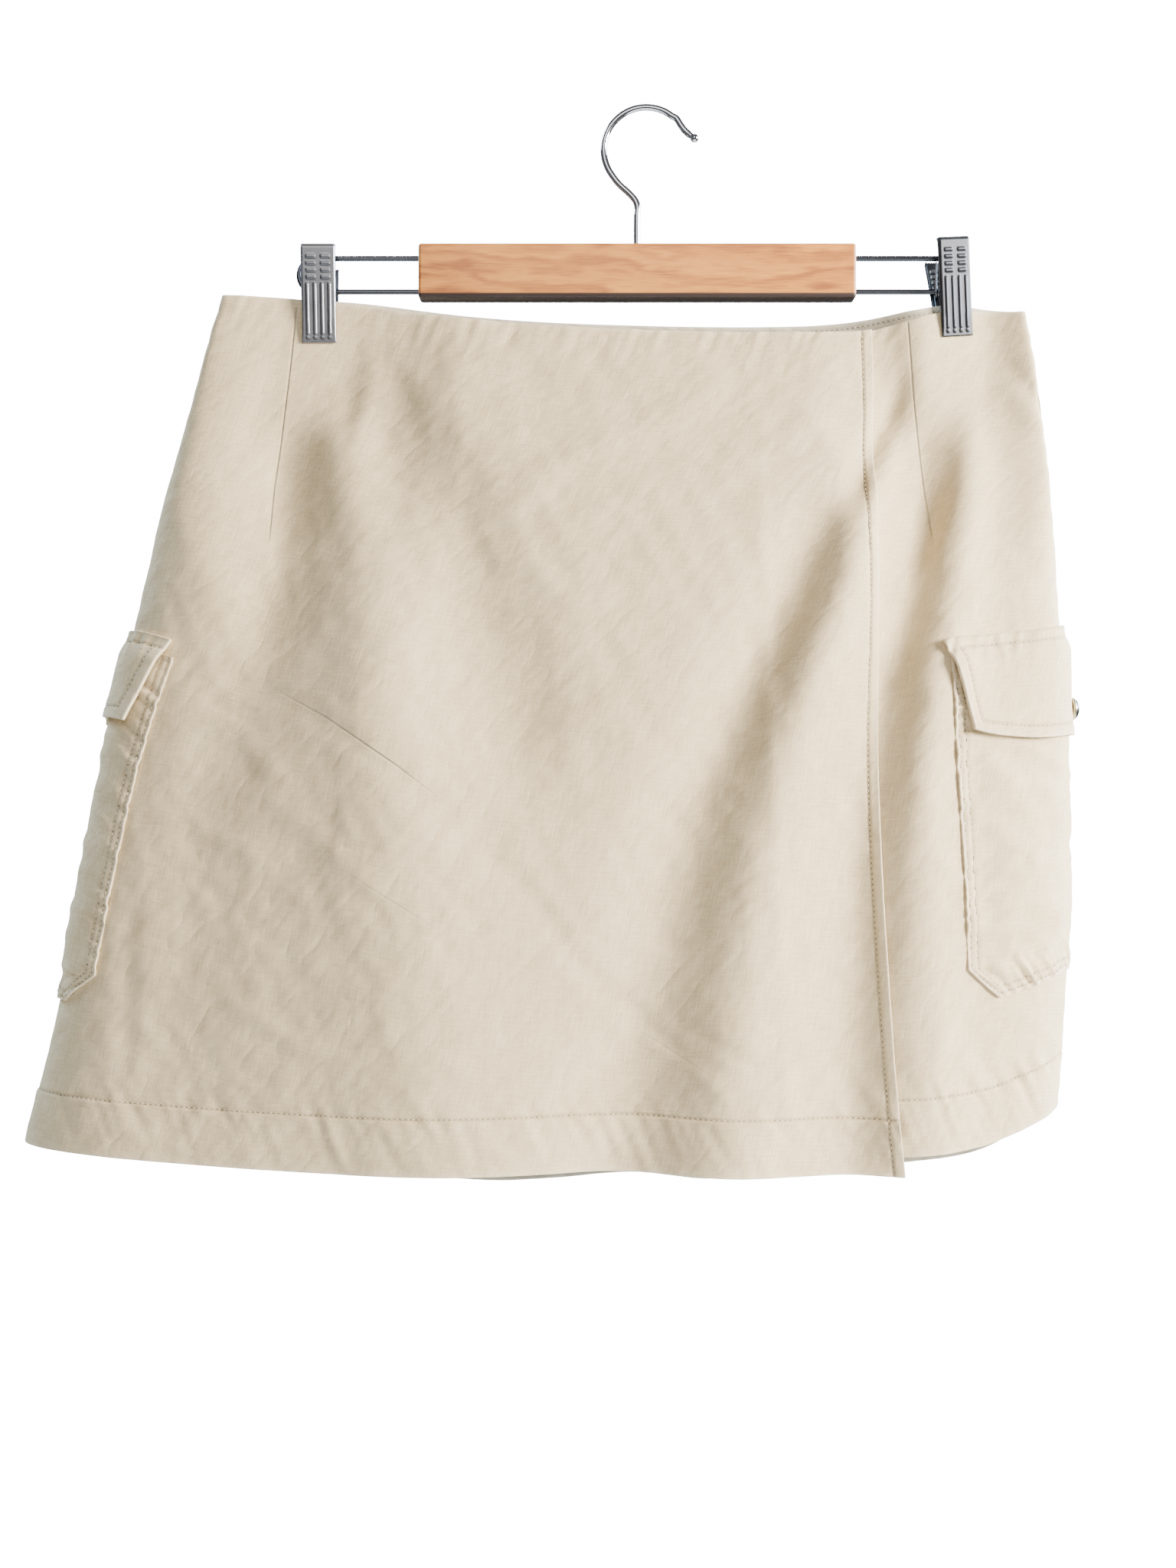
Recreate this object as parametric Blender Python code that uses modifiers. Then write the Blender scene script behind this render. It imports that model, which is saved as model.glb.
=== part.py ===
"""Cargo utility skirt hung on a wood and wire clip hanger.

Metres. +X is to the viewer's right when the wrap front faces the viewer, +Y goes from the
front of the skirt to its back, +Z is up. The origin is the inside top of the hook, straight
above its stem, where a rail carries the hanger.

The skirt is one closed ring of cloth at every height. ring_point() gives the middle of that
wall from the tables below, and every sewn piece is a grid of its points, moved out or in.
"""
import bisect
import math
from collections import namedtuple

import bmesh
import bpy
from mathutils import Matrix, Vector

# ---------------------------------------------------------------- driving dimensions
CLOTH = 0.0012          # wall of one panel
FACING = 0.0010         # wall of the waist facing
FLAP = 0.0020           # a flap is two layers of cloth
SEAM_GAP = 0.00036      # between pieces that meet
UNDERLAP = 0.060        # how far the under front runs beneath the wrap
POCKET_HALF = 0.077     # half the width of a pocket, measured round the side
POCKET_LIFT = 0.0024    # from the middle of the panel's wall to the middle of the pocket's
POCKET_CORNER = 0.018   # how much its lower corners are cut off
FLAP_TOP_HALF = {"left": 0.0720, "right": 0.0795}     # half the width of a flap at its top
FLAP_LOW_HALF = {"left": 0.0645, "right": 0.0685}     # and at its lower corners
FLAP_DROP = {"left": (0.0, 0.0), "right": (0.0036, 0.0145)}   # lower edge: sag at corners, middle
FLAP_SEWN = 0.0023      # from the middle of the panel's wall to the flap's where it is sewn on
FLAP_LIFT = 0.0050      # and where the flap lies on the pocket
FLAP_FLARE = 0.0012     # and this much more at its lower edge
PATCH_MARGIN = 0.0020   # least distance between the last columns of a patch
FACING_DEPTH = 0.040
SNAP_RADIUS = 0.0058
SNAP_HEIGHT = 0.0040

BAR = (0.2276, 0.0130, 0.0283)      # wooden bar: length, thickness, height
BAR_CENTRE_Z = -0.08435
RAIL_RADIUS = 0.0014
RAIL_UPPER_Z = -0.0768
RAIL_LOWER_Z = -0.0942
RAIL_REACH = {"left": 0.1780, "right": 0.1730}     # outer end of each U-bend, from the middle
RAIL_BURIED = 0.012                 # how deep a wire sits in the bar
HOLE_CLEARANCE = 0.0003
WIRE_RADIUS = 0.00175               # hook wire
BEAD_RADIUS = 0.0022
HOOK_RADIUS = 0.0222                # middle of the wire, round the hook's bow
HOOK_SIDE = 0.0048                  # the bow's centre, right of the stem

JAW_WIDTH = 0.0180
JAW_HEIGHT = {"front": 0.0495, "back": 0.0405}
JAW_SHEET = 0.0008
JAW_TILT = math.radians(8.0)        # each jaw leans away from the cloth, upwards
JAW_FACE = 0.0025                   # inside of a jaw's lip, from the middle of the cloth
SPRING_RADIUS = 0.0031
SPRING_BORE = 0.0021
SPRING_LENGTH = 0.0080
SPRING_SHIFT = 0.0036               # towards the bar, clear of the rail's bend
PATCH_HALF = 0.0120                 # cloth pressed flat either side of a clip's middle

# Where each clip bites: middle, bottom of the jaw, turn about the upright, lean sideways.
CLIPS = {
    "left": dict(x=-0.1656, z_low=-0.1212, turn=0.0, lean=0.0),
    "right": dict(x=0.1662, z_low=-0.1176, turn=math.radians(18.0), lean=math.radians(7.0)),
}
PINCH_REACH = 0.060     # the cloth opens out again over this distance from a clip
PINCH_FALL = 0.35       # and about three times as slowly going down
FLAT_HALF = 0.00155     # half the distance between front and back where they are clipped
END_ROUND = 0.0020      # the least radius at a side, where front runs into back

# ---------------------------------------------------------------- shape tables
# One row per height, from waist (0) to hem (1): the side outline, how far the front and the
# back stand from the middle plane, how blunt each side is (2 is an ellipse), where the left
# side seam lies behind the outline, and how much the grain drops on the left.
Section = namedtuple("Section", "level left right front back blunt_left blunt_right seam_back grain_drop")
SECTIONS = [Section(*row) for row in (
    (0.00, -0.2168, 0.2032, 0.010, 0.010, 2.0, 2.0, 0.000, 0.000),
    (0.10, -0.2288, 0.2100, 0.019, 0.017, 2.1, 2.0, 0.006, 0.001),
    (0.25, -0.2466, 0.2162, 0.034, 0.029, 2.4, 2.0, 0.020, 0.005),
    (0.40, -0.2614, 0.2198, 0.045, 0.037, 2.6, 2.0, 0.032, 0.009),
    (0.55, -0.2752, 0.2214, 0.052, 0.042, 2.7, 2.0, 0.036, 0.010),
    (0.70, -0.2880, 0.2224, 0.056, 0.045, 2.7, 2.1, 0.036, 0.009),
    (0.85, -0.3005, 0.2228, 0.058, 0.046, 2.6, 2.1, 0.036, 0.007),
    (1.00, -0.3172, 0.2180, 0.059, 0.047, 2.5, 2.1, 0.036, 0.000),
)]

# Height of each edge along the skirt: x, z.
FRONT_WAIST = ((-0.217, -0.0964), (-0.180, -0.0985), (-0.148, -0.1018), (-0.108, -0.1082),
               (-0.050, -0.1139), (0.003, -0.1165), (0.060, -0.1176), (0.115, -0.1162),
               (0.141, -0.1108), (0.164, -0.1052), (0.204, -0.1044))
BACK_WAIST = ((-0.217, -0.0964), (-0.180, -0.0985), (-0.148, -0.1002), (-0.108, -0.1036),
              (-0.053, -0.1078), (0.004, -0.1099), (0.052, -0.1107), (0.091, -0.1103),
              (0.117, -0.1088), (0.145, -0.1050), (0.164, -0.1018), (0.204, -0.1044))
WRAP_HEM = ((-0.318, -0.5352), (-0.220, -0.5401), (-0.140, -0.5426), (-0.020, -0.5427),
            (0.050, -0.5445), (0.135, -0.5464))
UNDER_HEM = ((0.060, -0.5385), (0.132, -0.5366), (0.172, -0.5334), (0.190, -0.5284),
             (0.208, -0.5221), (0.219, -0.5168))
BACK_HEM = ((-0.318, -0.5352), (-0.220, -0.5560), (-0.129, -0.5652), (-0.088, -0.5677),
            (-0.042, -0.5655), (0.000, -0.5630), (0.040, -0.5652), (0.095, -0.5610),
            (0.150, -0.5556), (0.190, -0.5440), (0.219, -0.5168))
WRAP_EDGE = ((0.00, 0.1216), (0.06, 0.1220), (0.30, 0.1212), (0.60, 0.1208), (0.85, 0.1260),
             (1.00, 0.1317))

# Folds that run down the cloth: the line they follow as (level, x) pairs, half their width at
# the top and the bottom, and how far they stand out (minus: a trough).
Fold = namedtuple("Fold", "side path wide_top wide_low height")
FOLDS = [Fold(*row) for row in (
    ("front", ((0.02, -0.158), (0.16, -0.150), (0.30, -0.143), (0.65, -0.124), (1.02, -0.100)),
     0.016, 0.056, 0.0068),
    ("front", ((0.08, -0.176), (0.32, -0.190), (0.62, -0.222), (0.90, -0.232)), 0.016, 0.030, -0.0030),
    ("front", ((0.10, -0.110), (0.30, -0.088), (0.46, -0.068)), 0.020, 0.032, -0.0042),
    ("front", ((0.16, 0.108), (0.40, 0.062), (0.58, 0.030), (0.74, 0.012), (1.00, -0.012)),
     0.018, 0.034, -0.0058),
    ("front", ((0.08, 0.131), (0.24, 0.115), (0.45, 0.080), (0.58, 0.062), (0.70, 0.054), (0.86, 0.046),
               (1.02, 0.044)), 0.014, 0.030, 0.0052),
    ("front", ((0.10, 0.150), (0.28, 0.139), (0.45, 0.122), (0.62, 0.110), (0.95, 0.106)),
     0.012, 0.022, -0.0050),
    ("front", ((0.10, 0.166), (0.30, 0.157), (0.50, 0.143), (0.75, 0.139), (1.02, 0.141)),
     0.014, 0.026, 0.0050),
    ("back", ((0.05, -0.160), (0.35, -0.150), (0.70, -0.140), (1.02, -0.132)), 0.022, 0.050, 0.0070),
    ("back", ((0.10, -0.120), (0.40, -0.088), (0.75, -0.060), (1.02, -0.045)), 0.022, 0.042, -0.0055),
    ("back", ((0.20, 0.010), (0.55, 0.000), (1.02, -0.012)), 0.034, 0.050, 0.0040),
    ("back", ((0.12, 0.118), (0.40, 0.080), (0.75, 0.052), (1.02, 0.040)), 0.020, 0.040, -0.0055),
    ("back", ((0.05, 0.162), (0.35, 0.146), (0.70, 0.132), (1.02, 0.126)), 0.020, 0.045, 0.0065),
)]
FOLD_RISE = 0.14        # a fold grows over this much level from its top

# Rows that every sewn piece shares, so that pieces lie parallel where one is on another.
POCKET_TOP = 0.44
POCKET_LOW = 0.83
CHAMFER_TOP = 0.79
FLAP_TOP = 0.40
SNAP_LEVEL = 0.477
FLAP_LOW = 0.501
LEVELS = (0.0, 0.03, 0.06, 0.10, 0.15, 0.21, 0.27, 0.335, FLAP_TOP, POCKET_TOP, SNAP_LEVEL, FLAP_LOW,
          0.55, 0.60, 0.65, 0.70, 0.745, CHAMFER_TOP, POCKET_LOW, 0.88, 0.93, 0.965, 1.0)
SEAM_COLUMNS = (0.0009, 0.0030)     # the first columns from a side seam
SIDE_STEP = 0.0135      # and the next ones
SIDE_COLUMNS = 6
RING_SAMPLES = 180      # points on half a ring when its length is measured

COLOURS = {             # base colour, roughness, metallic
    "cloth": ((0.72, 0.64, 0.52), 0.9, 0.0),
    "cloth_inside": ((0.66, 0.59, 0.48), 0.9, 0.0),
    "wood": ((0.62, 0.33, 0.16), 0.5, 0.0),
    "steel": ((0.55, 0.56, 0.58), 0.28, 1.0),
    "chrome": ((0.78, 0.79, 0.82), 0.08, 1.0),
    "aged_brass": ((0.42, 0.34, 0.18), 0.35, 1.0),
}


# ---------------------------------------------------------------- curves through tables
def smooth(edge_low, edge_high, value):
    """0 before edge_low, 1 after edge_high, and a soft S between."""
    part = min(max((value - edge_low) / (edge_high - edge_low), 0.0), 1.0)
    return part * part * (3.0 - 2.0 * part)


def along(table, value):
    """A smooth curve through (position, amount) pairs, flat in slope past its ends."""
    if value <= table[0][0]:
        return table[0][1]
    if value >= table[-1][0]:
        return table[-1][1]
    index = next(i for i in range(len(table) - 1) if value <= table[i + 1][0])
    (x0, y0), (x1, y1) = table[index], table[index + 1]
    before = table[max(index - 1, 0)]
    after = table[min(index + 2, len(table) - 1)]
    span = x1 - x0
    slope0 = (y1 - before[1]) / (x1 - before[0]) * span
    slope1 = (after[1] - y0) / (after[0] - x0) * span
    u = (value - x0) / span
    return ((2 * u**3 - 3 * u**2 + 1) * y0 + (u**3 - 2 * u**2 + u) * slope0
            + (3 * u**2 - 2 * u**3) * y1 + (u**3 - u**2) * slope1)


def section(level):
    """The SECTIONS row at any height."""
    return Section(*(along([(row.level, row[i]) for row in SECTIONS], level)
                     for i in range(len(Section._fields))))


def fold_offset(side, x, level):
    """How far the folds of one side stand out at a place."""
    total = 0.0
    for fold in FOLDS:
        if fold.side != side:
            continue
        top, low = fold.path[0][0], fold.path[-1][0]
        wide = fold.wide_top + (fold.wide_low - fold.wide_top) * smooth(top, low, level)
        grow = smooth(top - 0.02, top + FOLD_RISE, level) * (1.0 - smooth(low, low + FOLD_RISE, level))
        total += fold.height * grow * math.exp(-(((x - along(fold.path, level)) / wide) ** 2))
    return total


def pinch(x, z):
    """0 where a clip presses front and back together, 1 well away from both clips."""
    openness = 1.0
    for clip in CLIPS.values():
        aside = max(abs(x - clip["x"]) - PATCH_HALF, 0.0)
        below = max(clip["z_low"] - 0.002 - z, 0.0) * PINCH_FALL
        openness *= smooth(0.0, PINCH_REACH, math.hypot(aside, below))
    return openness


def clip_turn(x, z):
    """How far the middle plane swings where a clip is turned about the upright."""
    shift = 0.0
    for clip in CLIPS.values():
        beside = x - clip["x"]
        fade = math.exp(-((max(abs(beside) - PATCH_HALF, 0.0) / 0.018) ** 2))
        fall = math.exp(-((max(clip["z_low"] - z, 0.0) / 0.060) ** 2))
        shift += math.tan(clip["turn"]) * beside * fade * fall
    return shift


def ring_point(side, angle, level):
    """Middle of the wall: angle runs from 0 at the left outline to pi at the right one."""
    row = section(level)
    half = 0.5 * (row.right - row.left)
    centre = 0.5 * (row.right + row.left)
    turn = math.cos(angle)
    blunt = row.blunt_left if turn > 0 else row.blunt_right
    across = -math.copysign(abs(turn) ** (2.0 / blunt), turn)
    end = max(math.sin(angle), 0.0) ** (2.0 / blunt)
    x = centre + half * across
    if side == "front":
        waist, hem = along(FRONT_WAIST, x), front_hem(x)
        depth, sign = row.front, -1.0
    else:
        waist, hem = along(BACK_WAIST, x), along(BACK_HEM, x)
        depth, sign = row.back, 1.0
    z = waist + level * (hem - waist)
    left_zone = smooth(row.left + 0.002, row.left + 0.045, x) * (1.0 - smooth(-0.20, -0.08, x))
    z -= row.grain_drop * left_zone
    to_end = min(x - row.left, row.right - x) / END_ROUND
    cap = math.sqrt(1.0 - (1.0 - min(to_end, 1.0)) ** 2) if to_end > 0 else 0.0
    open_here = pinch(x, z)
    bulge = (depth - FLAT_HALF) * open_here * end
    bulge += fold_offset(side, x, level) * end * smooth(0.0, 0.5, open_here)
    return Vector((x, sign * (FLAT_HALF * cap + bulge) + clip_turn(x, z), z))


def front_at(x, level):
    """Middle of the front's wall at a given x."""
    row = section(level)
    across = (2.0 * x - row.left - row.right) / (row.right - row.left)
    blunt = row.blunt_left if across < 0 else row.blunt_right
    return ring_point("front", math.acos(-math.copysign(abs(across) ** (0.5 * blunt), across)), level)


def front_hem(x):
    """The wrap's hem, and past the wrap's corner the under front's."""
    past = smooth(WRAP_EDGE[-1][1] + 0.001, WRAP_EDGE[-1][1] + 0.030, x)
    return along(WRAP_HEM, x) * (1.0 - past) + along(UNDER_HEM, x) * past


class Ring:
    """One level of the skirt: places measured round it from the left outline."""

    def __init__(self, level):
        self.level = level
        self.sides = {}
        for side in ("front", "back"):
            angles = [math.pi * i / RING_SAMPLES for i in range(RING_SAMPLES + 1)]
            points = [ring_point(side, angle, level) for angle in angles]
            lengths = [0.0]
            for before, after in zip(points, points[1:]):
                lengths.append(lengths[-1] + (after - before).length)
            self.sides[side] = (points, lengths)
        self.front_length = self.sides["front"][1][-1]
        self.back_length = self.sides["back"][1][-1]

    def at(self, distance):
        """The point at a distance round the ring; past the front's length it is on the back."""
        distance %= self.front_length + self.back_length
        side = "front"
        if distance > self.front_length:
            side, distance = "back", self.back_length - (distance - self.front_length)
        points, lengths = self.sides[side]
        index = bisect.bisect_left(lengths, distance, 1, len(lengths) - 1)
        part = (distance - lengths[index - 1]) / (lengths[index] - lengths[index - 1])
        return points[index - 1].lerp(points[index], part)

    def match(self, other, distance):
        """The same share of the front or back on another ring."""
        whole = self.front_length + self.back_length
        distance %= whole
        if distance <= self.front_length:
            return distance * other.front_length / self.front_length
        past = (distance - self.front_length) * other.back_length / self.back_length
        return other.front_length + past

    def length_at_x(self, x):
        """Distance along the front to a given x."""
        points, lengths = self.sides["front"]
        index = next((i for i, p in enumerate(points) if p.x >= x), len(points) - 1)
        before, after = points[index - 1], points[index]
        part = (x - before.x) / (after.x - before.x)
        return lengths[index - 1] + part * (lengths[index] - lengths[index - 1])


def build_rings():
    return {level: Ring(level) for level in LEVELS}


def left_seam(ring):
    return -section(ring.level).seam_back


def right_seam(ring):
    return ring.front_length


def wrap_edge(ring):
    return ring.length_at_x(along(WRAP_EDGE, ring.level))


def side_columns(seam, direction):
    """Columns from a side seam inwards; the first leaves half the seam gap."""
    steps = [0.5 * SEAM_GAP, *SEAM_COLUMNS] + [SIDE_STEP * i for i in range(1, SIDE_COLUMNS + 1)]
    return [seam + direction * step for step in steps]


def spread(start, end, count):
    return [start + (end - start) * i / count for i in range(1, count)]


# ---------------------------------------------------------------- Blender helpers
def clear_scene():
    for item in list(bpy.data.objects):
        bpy.data.objects.remove(item, do_unlink=True)


def make_material(name):
    colour, roughness, metallic = COLOURS[name]
    material = bpy.data.materials.new(name)
    material.use_nodes = True
    shader = material.node_tree.nodes["Principled BSDF"]
    shader.inputs["Base Color"].default_value = (*colour, 1.0)
    shader.inputs["Roughness"].default_value = roughness
    shader.inputs["Metallic"].default_value = metallic
    material.diffuse_color = (*colour, 1.0)
    return material


def add_object(name, data, material, collection):
    item = bpy.data.objects.new(name, data)
    data.materials.append(make_material(material))
    collection.objects.link(item)
    return item


def grid_mesh(name, rows):
    """An open sheet through rows of points, facing out of the skirt."""
    mesh = bpy.data.meshes.new(name)
    sheet = bmesh.new()
    verts = [[sheet.verts.new(point) for point in row] for row in rows]
    for upper, lower in zip(verts, verts[1:]):
        for i in range(len(upper) - 1):
            sheet.faces.new((upper[i], lower[i], lower[i + 1], upper[i + 1]))
    sheet.normal_update()
    sheet.to_mesh(mesh)
    sheet.free()
    return mesh


def add_shell(item, thickness):
    """Give an open sheet its wall, half to each side."""
    shell = item.modifiers.new("wall", "SOLIDIFY")
    shell.thickness = thickness
    shell.offset = 0.0
    shell.use_even_offset = False
    shell.use_rim = True
    for polygon in item.data.polygons:
        polygon.use_smooth = True


def outward(rings, ring, distance):
    """Direction out of the cloth, from the places above, below and beside."""
    step = 0.001
    row = LEVELS.index(ring.level)
    across = ring.at(distance + step) - ring.at(distance - step)
    upper = rings[LEVELS[max(row - 1, 0)]]
    lower = rings[LEVELS[min(row + 1, len(LEVELS) - 1)]]
    down = lower.at(ring.match(lower, distance)) - upper.at(ring.match(upper, distance))
    return down.cross(across).normalized()


def sew_panel(name, rings, levels, columns_at, lift_at, thickness, material, collection,
              slide=lambda point, ring, distance: point):
    """Loft a piece through the shared levels.

    columns_at(ring) lists distances round the ring, lift_at(ring, distance) says how far the piece
    lies outside the skirt's own surface, and slide() may move a point along that surface first.
    """
    rows = []
    for level in levels:
        ring = rings[level]
        rows.append([slide(ring.at(distance), ring, distance)
                     + outward(rings, ring, distance) * lift_at(ring, distance)
                     for distance in columns_at(ring)])
    item = add_object(name, grid_mesh(name, rows), material, collection)
    add_shell(item, thickness)
    return item


# ---------------------------------------------------------------- the skirt's pieces
def build_front_wrap(rings, collection):
    def columns(ring):
        side = side_columns(left_seam(ring), 1.0)
        edge = wrap_edge(ring)
        last = [edge - UNDERLAP * part for part in (1.0, 0.75, 0.5, 0.25, 0.0)]
        return side + spread(side[-1], last[0], 17) + last

    return sew_panel("front_wrap", rings, LEVELS, columns, lambda *_: 0.0, CLOTH, "cloth", collection)


def build_front_under(rings, collection):
    def columns(ring):
        side = side_columns(right_seam(ring), -1.0)
        edge = wrap_edge(ring)
        first = [edge - UNDERLAP * part for part in (1.0, 0.75, 0.5, 0.25, 0.0)]
        return first + spread(edge, side[-1], 3) + side[::-1]

    def lift(ring, distance):
        past = distance - wrap_edge(ring)
        return -(CLOTH + 2.0 * SEAM_GAP) * (1.0 - smooth(0.004, 0.030, past))

    def shorten(point, ring, _):
        """The under front is cut shorter than the wrap, so its rows lie a little higher."""
        waist = along(FRONT_WAIST, point.x)
        share = (along(UNDER_HEM, point.x) - waist) / (front_hem(point.x) - waist)
        return front_at(point.x, ring.level * share) if share < 1.0 else point

    return sew_panel("front_under", rings, LEVELS, columns, lift, CLOTH, "cloth", collection, shorten)


def back_columns(ring):
    left = side_columns(left_seam(ring), -1.0)
    right = side_columns(right_seam(ring), 1.0)
    whole = ring.front_length + ring.back_length
    left = [whole + distance for distance in left]
    return right + spread(right[-1], left[-1], 25) + left[::-1]


def build_back(rings, collection):
    return sew_panel("back", rings, LEVELS, back_columns, lambda *_: 0.0, CLOTH, "cloth", collection)


def build_back_facing(rings, collection):
    """Faces the back waist on the inside, and shows above the lower front edge."""
    lift = -(0.5 * CLOTH + SEAM_GAP + 0.5 * FACING)
    levels = [level for level in LEVELS if level <= FACING_DEPTH / 0.43]
    return sew_panel("back_facing", rings, levels, lambda ring: back_columns(ring)[1:-1],
                     lambda *_: lift, FACING, "cloth_inside", collection)


def patch_columns(half):
    """Distances either side of the seam: the panel's own columns, and then the patch's edge."""
    inner = [*SEAM_COLUMNS] + [SIDE_STEP * i for i in range(1, SIDE_COLUMNS)]
    inner = [min(step, half - PATCH_MARGIN * (len(inner) - i)) for i, step in enumerate(inner)]
    return [-half] + [-step for step in inner[::-1]] + [0.0] + inner + [half]


def build_pocket(side, rings, collection):
    seam = left_seam if side == "left" else right_seam
    levels = [level for level in LEVELS if POCKET_TOP <= level <= POCKET_LOW]

    def columns(ring):
        cut = POCKET_CORNER * smooth(CHAMFER_TOP, POCKET_LOW, ring.level)
        return [seam(ring) + distance for distance in patch_columns(POCKET_HALF - cut)]

    return sew_panel(f"pocket_{side}", rings, levels, columns, lambda *_: POCKET_LIFT, CLOTH, "cloth",
                     collection)


def flap_share(ring):
    """0 at the flap's top, 1 at its lower edge."""
    return (ring.level - FLAP_TOP) / (FLAP_LOW - FLAP_TOP)


def flap_half(side, ring):
    return FLAP_TOP_HALF[side] + (FLAP_LOW_HALF[side] - FLAP_TOP_HALF[side]) * flap_share(ring)


def flap_sag(side, ring, from_seam):
    """How far a point of the flap hangs below its ring: most in the middle of the lower edge."""
    corner, middle = FLAP_DROP[side]
    outer = from_seam / flap_half(side, ring)
    return flap_share(ring) * (middle - (middle - corner) * outer * outer)


def build_flap(side, rings, collection):
    seam = left_seam if side == "left" else right_seam
    levels = [level for level in LEVELS if FLAP_TOP <= level <= FLAP_LOW]

    def columns(ring):
        return [seam(ring) + distance for distance in patch_columns(flap_half(side, ring))]

    def sag(point, ring, distance):
        return point - Vector((0.0, 0.0, flap_sag(side, ring, distance - seam(ring))))

    def lift(ring, _):
        sewn = (FLAP_LIFT - FLAP_SEWN) * (1.0 - smooth(FLAP_TOP, POCKET_TOP, ring.level))
        return FLAP_LIFT - sewn + FLAP_FLARE * smooth(POCKET_TOP, FLAP_LOW, ring.level)

    return sew_panel(f"flap_{side}", rings, levels, columns, lift, FLAP, "cloth", collection, sag)


def build_snap(side, rings, collection):
    """A domed cap in the middle of the flap, standing out from the side seam."""
    seam = left_seam if side == "left" else right_seam
    ring = rings[SNAP_LEVEL]
    direction = outward(rings, ring, seam(ring))
    lift = FLAP_LIFT + FLAP_FLARE + 0.5 * FLAP + SEAM_GAP
    place = ring.at(seam(ring)) + direction * lift - Vector((0.0, 0.0, flap_sag(side, ring, 0.0)))
    profile = [(SNAP_RADIUS * math.cos(angle), SNAP_HEIGHT * (0.35 + 0.65 * math.sin(angle)))
               for angle in [math.pi / 2 * i / 5 for i in range(5)]]
    profile = [(0.0, SNAP_HEIGHT)] + profile[::-1] + [(SNAP_RADIUS, 0.0), (0.0, 0.0)]
    item = add_object(f"snap_{side}", turned_mesh(f"snap_{side}", profile), "aged_brass", collection)
    turn_profile(item, 20)
    item.matrix_world = Matrix.Translation(place) @ direction.to_track_quat("Z", "Y").to_matrix().to_4x4()
    return item


def turned_mesh(name, profile):
    """An open line of (radius, height) points in the XZ plane, top to bottom."""
    mesh = bpy.data.meshes.new(name)
    mesh.from_pydata([(radius, 0.0, height) for radius, height in profile],
                     [(i, i + 1) for i in range(len(profile) - 1)], [])
    return mesh


def turn_profile(item, steps):
    screw = item.modifiers.new("turn", "SCREW")
    screw.steps = steps
    screw.render_steps = steps
    screw.use_merge_vertices = True
    screw.merge_threshold = 0.00002


# ---------------------------------------------------------------- the hanger
def wire_curve(name, points, radius):
    curve = bpy.data.curves.new(name, "CURVE")
    curve.dimensions = "3D"
    curve.bevel_depth = radius
    curve.bevel_resolution = 2
    curve.use_fill_caps = True
    spline = curve.splines.new("POLY")
    spline.points.add(len(points) - 1)
    for target, point in zip(spline.points, points):
        target.co = (*point[:3], 1.0)
        target.radius = point[3] if len(point) > 3 else 1.0
    return curve


def arc(centre_x, centre_z, radius, start, end, count):
    """Points on a circle in the XZ plane; angles in degrees from +X towards +Z."""
    angles = [math.radians(start + (end - start) * i / count) for i in range(count + 1)]
    return [(centre_x + radius * math.cos(a), 0.0, centre_z + radius * math.sin(a)) for a in angles]


def build_hook(collection):
    inner = HOOK_RADIUS - WIRE_RADIUS
    centre_z = -math.sqrt(inner**2 - HOOK_SIDE**2)
    bar_top = BAR_CENTRE_Z + 0.5 * BAR[2]
    stem = [(0.0, 0.0, bar_top - RAIL_BURIED), (0.0, 0.0, -0.0540), (0.0003, 0.0, -0.0500),
            (-0.0010, 0.0, -0.0462), (-0.0044, 0.0, -0.0424), (-0.0096, 0.0, -0.0376)]
    bow = arc(HOOK_SIDE, centre_z, HOOK_RADIUS, 212.0, 52.0, 20)
    tail = [(0.0205, 0.0, -0.0034), (0.0226, 0.0, -0.0066), (0.0246, 0.0, -0.0094), (0.0272, 0.0, -0.0119)]
    bead = []
    end = Vector((0.0300, 0.0, -0.0138))
    heading = Vector((0.82, 0.0, -0.57))
    for i in range(7):
        angle = math.pi * (0.22 + 0.76 * i / 6)
        place = end - heading * (BEAD_RADIUS * math.cos(angle))
        bead.append((*place, max(BEAD_RADIUS * math.sin(angle), 0.0002) / WIRE_RADIUS))
    curve = wire_curve("hook", stem + bow + tail + bead, WIRE_RADIUS)
    return add_object("hook", curve, "chrome", collection)


def build_rail(side, collection):
    """A U of wire: both ends sit in the end of the bar."""
    sign = -1.0 if side == "left" else 1.0
    inside = sign * (0.5 * BAR[0] - RAIL_BURIED)
    half = 0.5 * (RAIL_UPPER_Z - RAIL_LOWER_Z)
    middle = 0.5 * (RAIL_UPPER_Z + RAIL_LOWER_Z)
    turn_x = sign * (RAIL_REACH[side] - RAIL_RADIUS - half)
    bend = arc(0.0, middle, half, 90.0, -90.0, 10)
    points = [(inside, 0.0, RAIL_UPPER_Z)]
    points += [(turn_x + sign * x, y, z) for x, y, z in bend]
    points.append((inside, 0.0, RAIL_LOWER_Z))
    curve = wire_curve(f"rail_{side}", points, RAIL_RADIUS)
    return add_object(f"rail_{side}", curve, "steel", collection)


def drill(name, place, axis, radius, depth, cutters):
    bit = bmesh.new()
    bmesh.ops.create_cone(bit, cap_ends=True, segments=16, radius1=radius, radius2=radius, depth=depth)
    mesh = bpy.data.meshes.new(name)
    bit.to_mesh(mesh)
    bit.free()
    item = bpy.data.objects.new(name, mesh)
    item.matrix_world = Matrix.Translation(place) @ Vector(axis).to_track_quat("Z", "Y").to_matrix().to_4x4()
    item.hide_render = True
    item.display_type = "WIRE"
    cutters.objects.link(item)
    return item


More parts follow.
